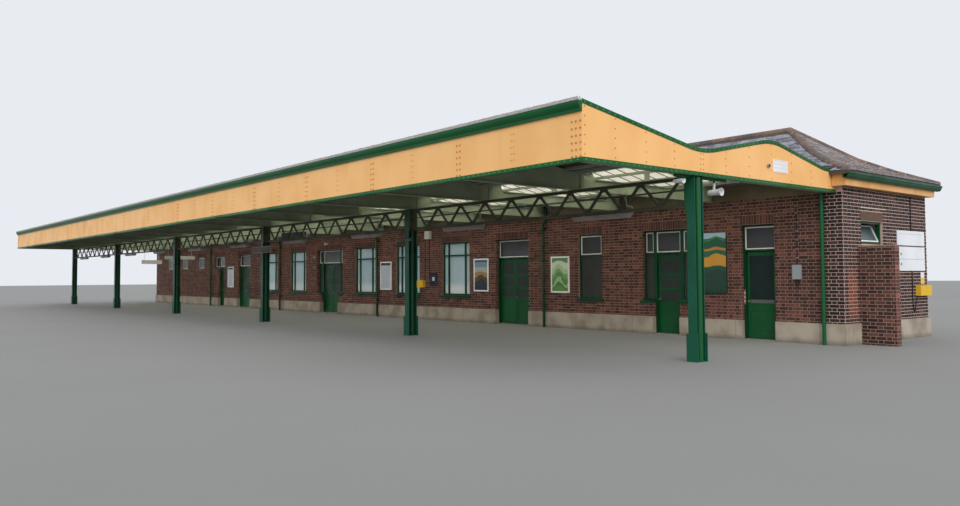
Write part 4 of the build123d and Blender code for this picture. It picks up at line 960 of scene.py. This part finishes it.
sheets = {
    "landscape_sheet": (9.318, 9.632, 0.548, 1.277, shade(12, 62, 42), (
        (0.36, 0.02, shade(10, 74, 48)), (0.44, 0.012, shade(214, 150, 40)), (0.62, 0.02, shade(22, 104, 66)),
        (0.70, 0.008, shade(206, 132, 44)), (0.745, 0.012, shade(20, 92, 58)), (0.87, 0.02, shade(60, 126, 84)),
        (0.915, 0.012, shade(176, 206, 222)),
    )),
    "meadow_sheet": (6.669, 6.996, 0.539, 1.031, shade(96, 146, 66), (
        (0.12, 0.03, shade(64, 116, 52)), (0.2, 0.05, shade(150, 184, 120)), (0.33, 0.07, shade(78, 132, 62)),
        (0.45, 0.06, shade(112, 160, 82)), (0.58, 0.05, shade(172, 198, 146)),
        (0.72, 0.04, shade(204, 214, 190)), (0.88, 0.02, shade(84, 138, 66)),
    )),
    "dusk_sheet": (4.849, 5.176, 0.539, 1.031, shade(24, 34, 56), (
        (0.14, 0.0, shade(30, 34, 30)), (0.3, 0.03, shade(74, 64, 36)), (0.46, 0.03, shade(168, 124, 66)),
        (0.6, 0.01, shade(176, 178, 172)), (0.76, 0.0, shade(120, 150, 176)), (0.93, 0.0, shade(60, 84, 116)),
    )),
    "notice_sheet": (1.984, 2.321, 0.539, 1.031, notice_grey, notice_head),
    "far_notice_sheet": (-5.486, -5.159, 0.539, 1.031, notice_grey, notice_head),
}
for label, (x0, x1, z0, z1, ground_tint, bands) in sheets.items():
    print_ = Finish(label, Roughness=0.25)
    colour = print_.mix(0.5 * print_.noise(30, 3), ground_tint, tuple(0.6 * c for c in ground_tint[:3]) + (1,))
    wave = print_.node("ShaderNodeMath", {"operation": "SINE"}, {0: print_.x * 21})
    wave = wave + 2.4 * (print_.noise(9, 3) - 0.5)
    for share, swing, band in bands:
        edge = z0 + share * (z1 - z0)
        over = print_.rise(print_.z + swing * wave, edge, edge + 0.003)
        colour = print_.mix(over, colour, band)
    if "notice" in label:
        blocks = print_.within(print_.z % 0.03, 0.01, 0.017, 0.001)
        blocks = blocks * print_.within(print_.x, x0 + 0.05, x1 - 0.05)
        blocks = blocks * print_.within(print_.z, z0 + 0.05, z0 + 0.4)
        colour = print_.mix(0.35 * blocks, colour, shade(120, 124, 130))
    print_.feed("Base Color", colour)
    middle = ((x0 + x1) / 2, 0.8592, (z0 + z1) / 2)
    set_out(label, print_, "timber_white", plank_shape(), [middle], (x1 - x0, z1 - z0, 0.0012), looks_front)


# Wall boxes, lights and loudspeakers.
# Small fittings in grey and white enamel, two yellow telephone hoods, strip lights hung
# from the girders with their conduit curled at one end, and pairs of horn loudspeakers.
# A dressed lead saddle closes the valley between the end fascia and the roof.
grey_enamel = painted("grey_enamel", shade(150, 156, 160), shade(126, 132, 136), 0.35, 0.2)
yellow = grey_enamel.within(grey_enamel.x, 3.24, 3.44) * (grey_enamel.z < 0.72) + (grey_enamel.x > 11.0) * (
    grey_enamel.y > 2.6
)
tinted(
    grey_enamel,
    (yellow, shade(226, 178, 42)),
    (grey_enamel.within(grey_enamel.x, -0.25, -0.1), shade(226, 226, 220)),
    (grey_enamel.within(grey_enamel.x, 3.45, 3.65), shade(206, 206, 200)),
)
dress(grey_enamel, "wall_boxes")
fitting_grey = painted("fitting_grey", shade(140, 134, 128), shade(116, 110, 106), 0.4, 0.2)
tinted(fitting_grey, (fitting_grey.z < 1.335, shade(146, 136, 134)))
dress(fitting_grey, "light_fittings")
horn_white = painted("horn_white", shade(222, 222, 222), shade(196, 196, 196), 0.35, 0.15)
tinted(horn_white, (horn_white.z > 1.6, shade(14, 84, 44)), (horn_white.x < 7, shade(96, 98, 92)))
mouth = [(0, -0.062), (0.018, -0.062), (0.025, -0.052), (0.027, 0.03), (0.031, 0.055), (0.037, 0.076)]
mouth += [(0.037, 0.080), (0.032, 0.078), (0.023, 0.05), (0, 0.04)]
speakers = bmesh.new()
column_face, beam_foot, beam_top = 0.0625, 1.621, 1.645


def take_in(whole, part, spot):
    """Moves a part to its spot and makes it one with a whole."""
    bmesh.ops.translate(part, verts=part.verts, vec=spot)
    held = bpy.data.meshes.new("held")
    part.to_mesh(held)
    part.free()
    whole.from_mesh(held)
    bpy.data.meshes.remove(held)


def add_bar(whole, spot, size):
    bmesh.ops.create_cube(whole, size=1, matrix=Matrix.Translation(spot) @ Matrix.Diagonal((*size, 1)))


for y, z, reach, scale in ((column_y - 0.235, 1.585, -0.22, 0.75), (column_y + 0.3, 1.515, 0.42, 1.0)):
    from_column = math.copysign(column_face, reach) + reach / 2
    beam_at = (column_x[-1], column_y + from_column, (beam_foot + beam_top) / 2)
    add_bar(speakers, beam_at, (0.024, abs(reach), 0.024))
    stem = beam_foot - z
    add_bar(speakers, (column_x[-1], y, z + stem / 2), (0.016, 0.016, stem))
    horn = turned([(scale * radius, scale * at) for radius, at in mouth], (1, 0, 0), (0, 0, 1))
    take_in(speakers, horn, (column_x[-1], y, z))
add_bar(speakers, (column_x[-2], column_y - column_face - 0.005, 1.245), (0.26, 0.01, 0.02))
for side in (-1, 1):
    horn = turned([(0.7 * radius, side * (0.7 * at + 0.045)) for radius, at in mouth], (1, 0, 0), (0, 0, 1))
    take_in(speakers, horn, (column_x[-2] + side * 0.06, column_y - column_face - 0.030, 1.245))
bmesh.ops.recalc_face_normals(speakers, faces=speakers.faces)
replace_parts(piece("horn_speakers", speakers, horn_white, "white_metal"), "speakers")
conduit_grey = painted("conduit_grey", shade(146, 148, 132), shade(112, 114, 102), 0.5, 0.2)
conduit_black = painted("conduit_black", shade(48, 44, 44), shade(36, 34, 34), 0.5, 0.2)


def tube(name, points, radius, finish, slot):
    """A bent tube through the points, on one smooth line."""
    line = bpy.data.curves.new(name, "CURVE")
    line.dimensions = "3D"
    line.bevel_depth = radius
    line.bevel_resolution = 2
    line.resolution_u = 6
    line.use_fill_caps = True
    run = line.splines.new("NURBS")
    run.points.add(len(points) - 1)
    for spot, point in zip(run.points, points):
        spot.co = (*point, 1)
    run.order_u = 3
    run.use_endpoint_u = True
    lone = bpy.data.objects.new(name + "_line", line)
    mesh = bpy.data.meshes.new_from_object(lone)
    bpy.data.objects.remove(lone)
    mesh.name = name
    return piece(name, mesh, finish, slot)


half_light = 0.36
loop = [(-0.02, column_y, 1.36), (0.035, column_y, 1.35), (0.06, -1.585, 1.385), (0.03, -1.592, 1.43)]
loop += [(-0.02, -1.592, 1.42), (-0.02, -1.588, 1.46), (-0.045, -1.586, 1.52)]
for bay, x in enumerate(column_x[:-1]):
    for number, share in enumerate((0.25, 0.75)):
        end = x + share * bay_length + half_light
        points = [(end + along, y, z) for along, y, z in loop]
        tube(f"light_conduit_{bay}_{number}", points, 0.008, conduit_grey, "grey_metal")
front_runs = {
    "box_conduit": [(10.542, 1.55), (10.542, 1.2), (10.542, 0.872)],
    "box_loop": [(10.56, 0.712), (10.56, 0.655), (10.542, 0.628), (10.522, 0.655), (10.522, 0.712)],
    "panel_conduit_0": [(3.57, 1.436), (3.57, 1.1), (3.57, 0.72)],
    "panel_conduit_1": [(3.44, 1.6), (3.44, 1.1), (3.44, 0.66), (3.38, 0.64)],
}
end_runs = {
    "end_conduit": [(2.544, 1.69), (2.544, 1.5), (2.544, 1.276)],
    "end_conduit_tail": [(2.544, 0.8), (2.544, 0.45), (2.56, 0.31), (2.61, 0.31), (2.625, 0.4), (2.66, 0.5)],
}
for label, points in front_runs.items():
    tube(label, [(x, 0.8615, z) for x, z in points], 0.0065, conduit_black, "grey_metal")
for label, points in end_runs.items():
    tube(label, [(11.0725, y, z) for y, z in points], 0.0065, conduit_black, "grey_metal")
clips = [(10.542, 0.8605, z) for z in (0.95, 1.05, 1.15, 1.25, 1.35, 1.45, 1.53)]
set_out("conduit_clips", fitting_grey, "grey_metal", gusset_shape(), clips, (0.03, 0.012, 0.018), looks_front)
line = [(0.0, 0.03), (0.009, 0.028), (0.016, 0.02), (0.018, 0.012), (0.02, 0.012), (0.02, 0.0)]
dome = turned(line, (1, 0, 0), (0, 0, 1))
bmesh.ops.translate(dome, verts=dome.verts, vec=(10.99, -0.465, 1.822))
dome_grey = painted("dome_grey", shade(168, 166, 160), shade(120, 116, 112), 0.3, 0.1)
tinted(dome_grey, (dome_grey.x > 11.008, shade(70, 66, 64)))
piece("camera_dome", dome, dome_grey, "grey_metal")
strip = Finish("jamb_strip", Roughness=0.4)
stripes = strip.within((strip.z + strip.x) % 0.05, 0.0, 0.025, 0.001)
strip.feed("Base Color", strip.mix(stripes, shade(222, 216, 210), shade(186, 48, 44)))
strip_at, strip_size = [(9.8375, 0.9245, 0.5)], (0.018, 0.17, 0.0016)
set_out("jamb_strip", strip, "white_metal", plank_shape(), strip_at, strip_size, looks_front)
lead = Finish("sheet_lead", Roughness=0.6, Metallic=0.3)
lead.feed("Base Color", lead.mix(lead.noise(20, 4), shade(70, 66, 66), shade(116, 108, 104)))
lead.relief(lead.noise(60, 3), 0.003)
saddle = bmesh.new()
bmesh.ops.create_icosphere(saddle, subdivisions=3, radius=0.5)
bmesh.ops.scale(saddle, vec=(0.11, 0.12, 0.06), verts=saddle.verts)
for vertex in saddle.verts:
    vertex.co *= 1 + 0.12 * math.sin(60 * vertex.co.x) * math.cos(55 * vertex.co.y)
bmesh.ops.translate(saddle, verts=saddle.verts, vec=(11.11, 0.80, 1.9))
piece("lead_saddle", saddle, lead, "zinc")
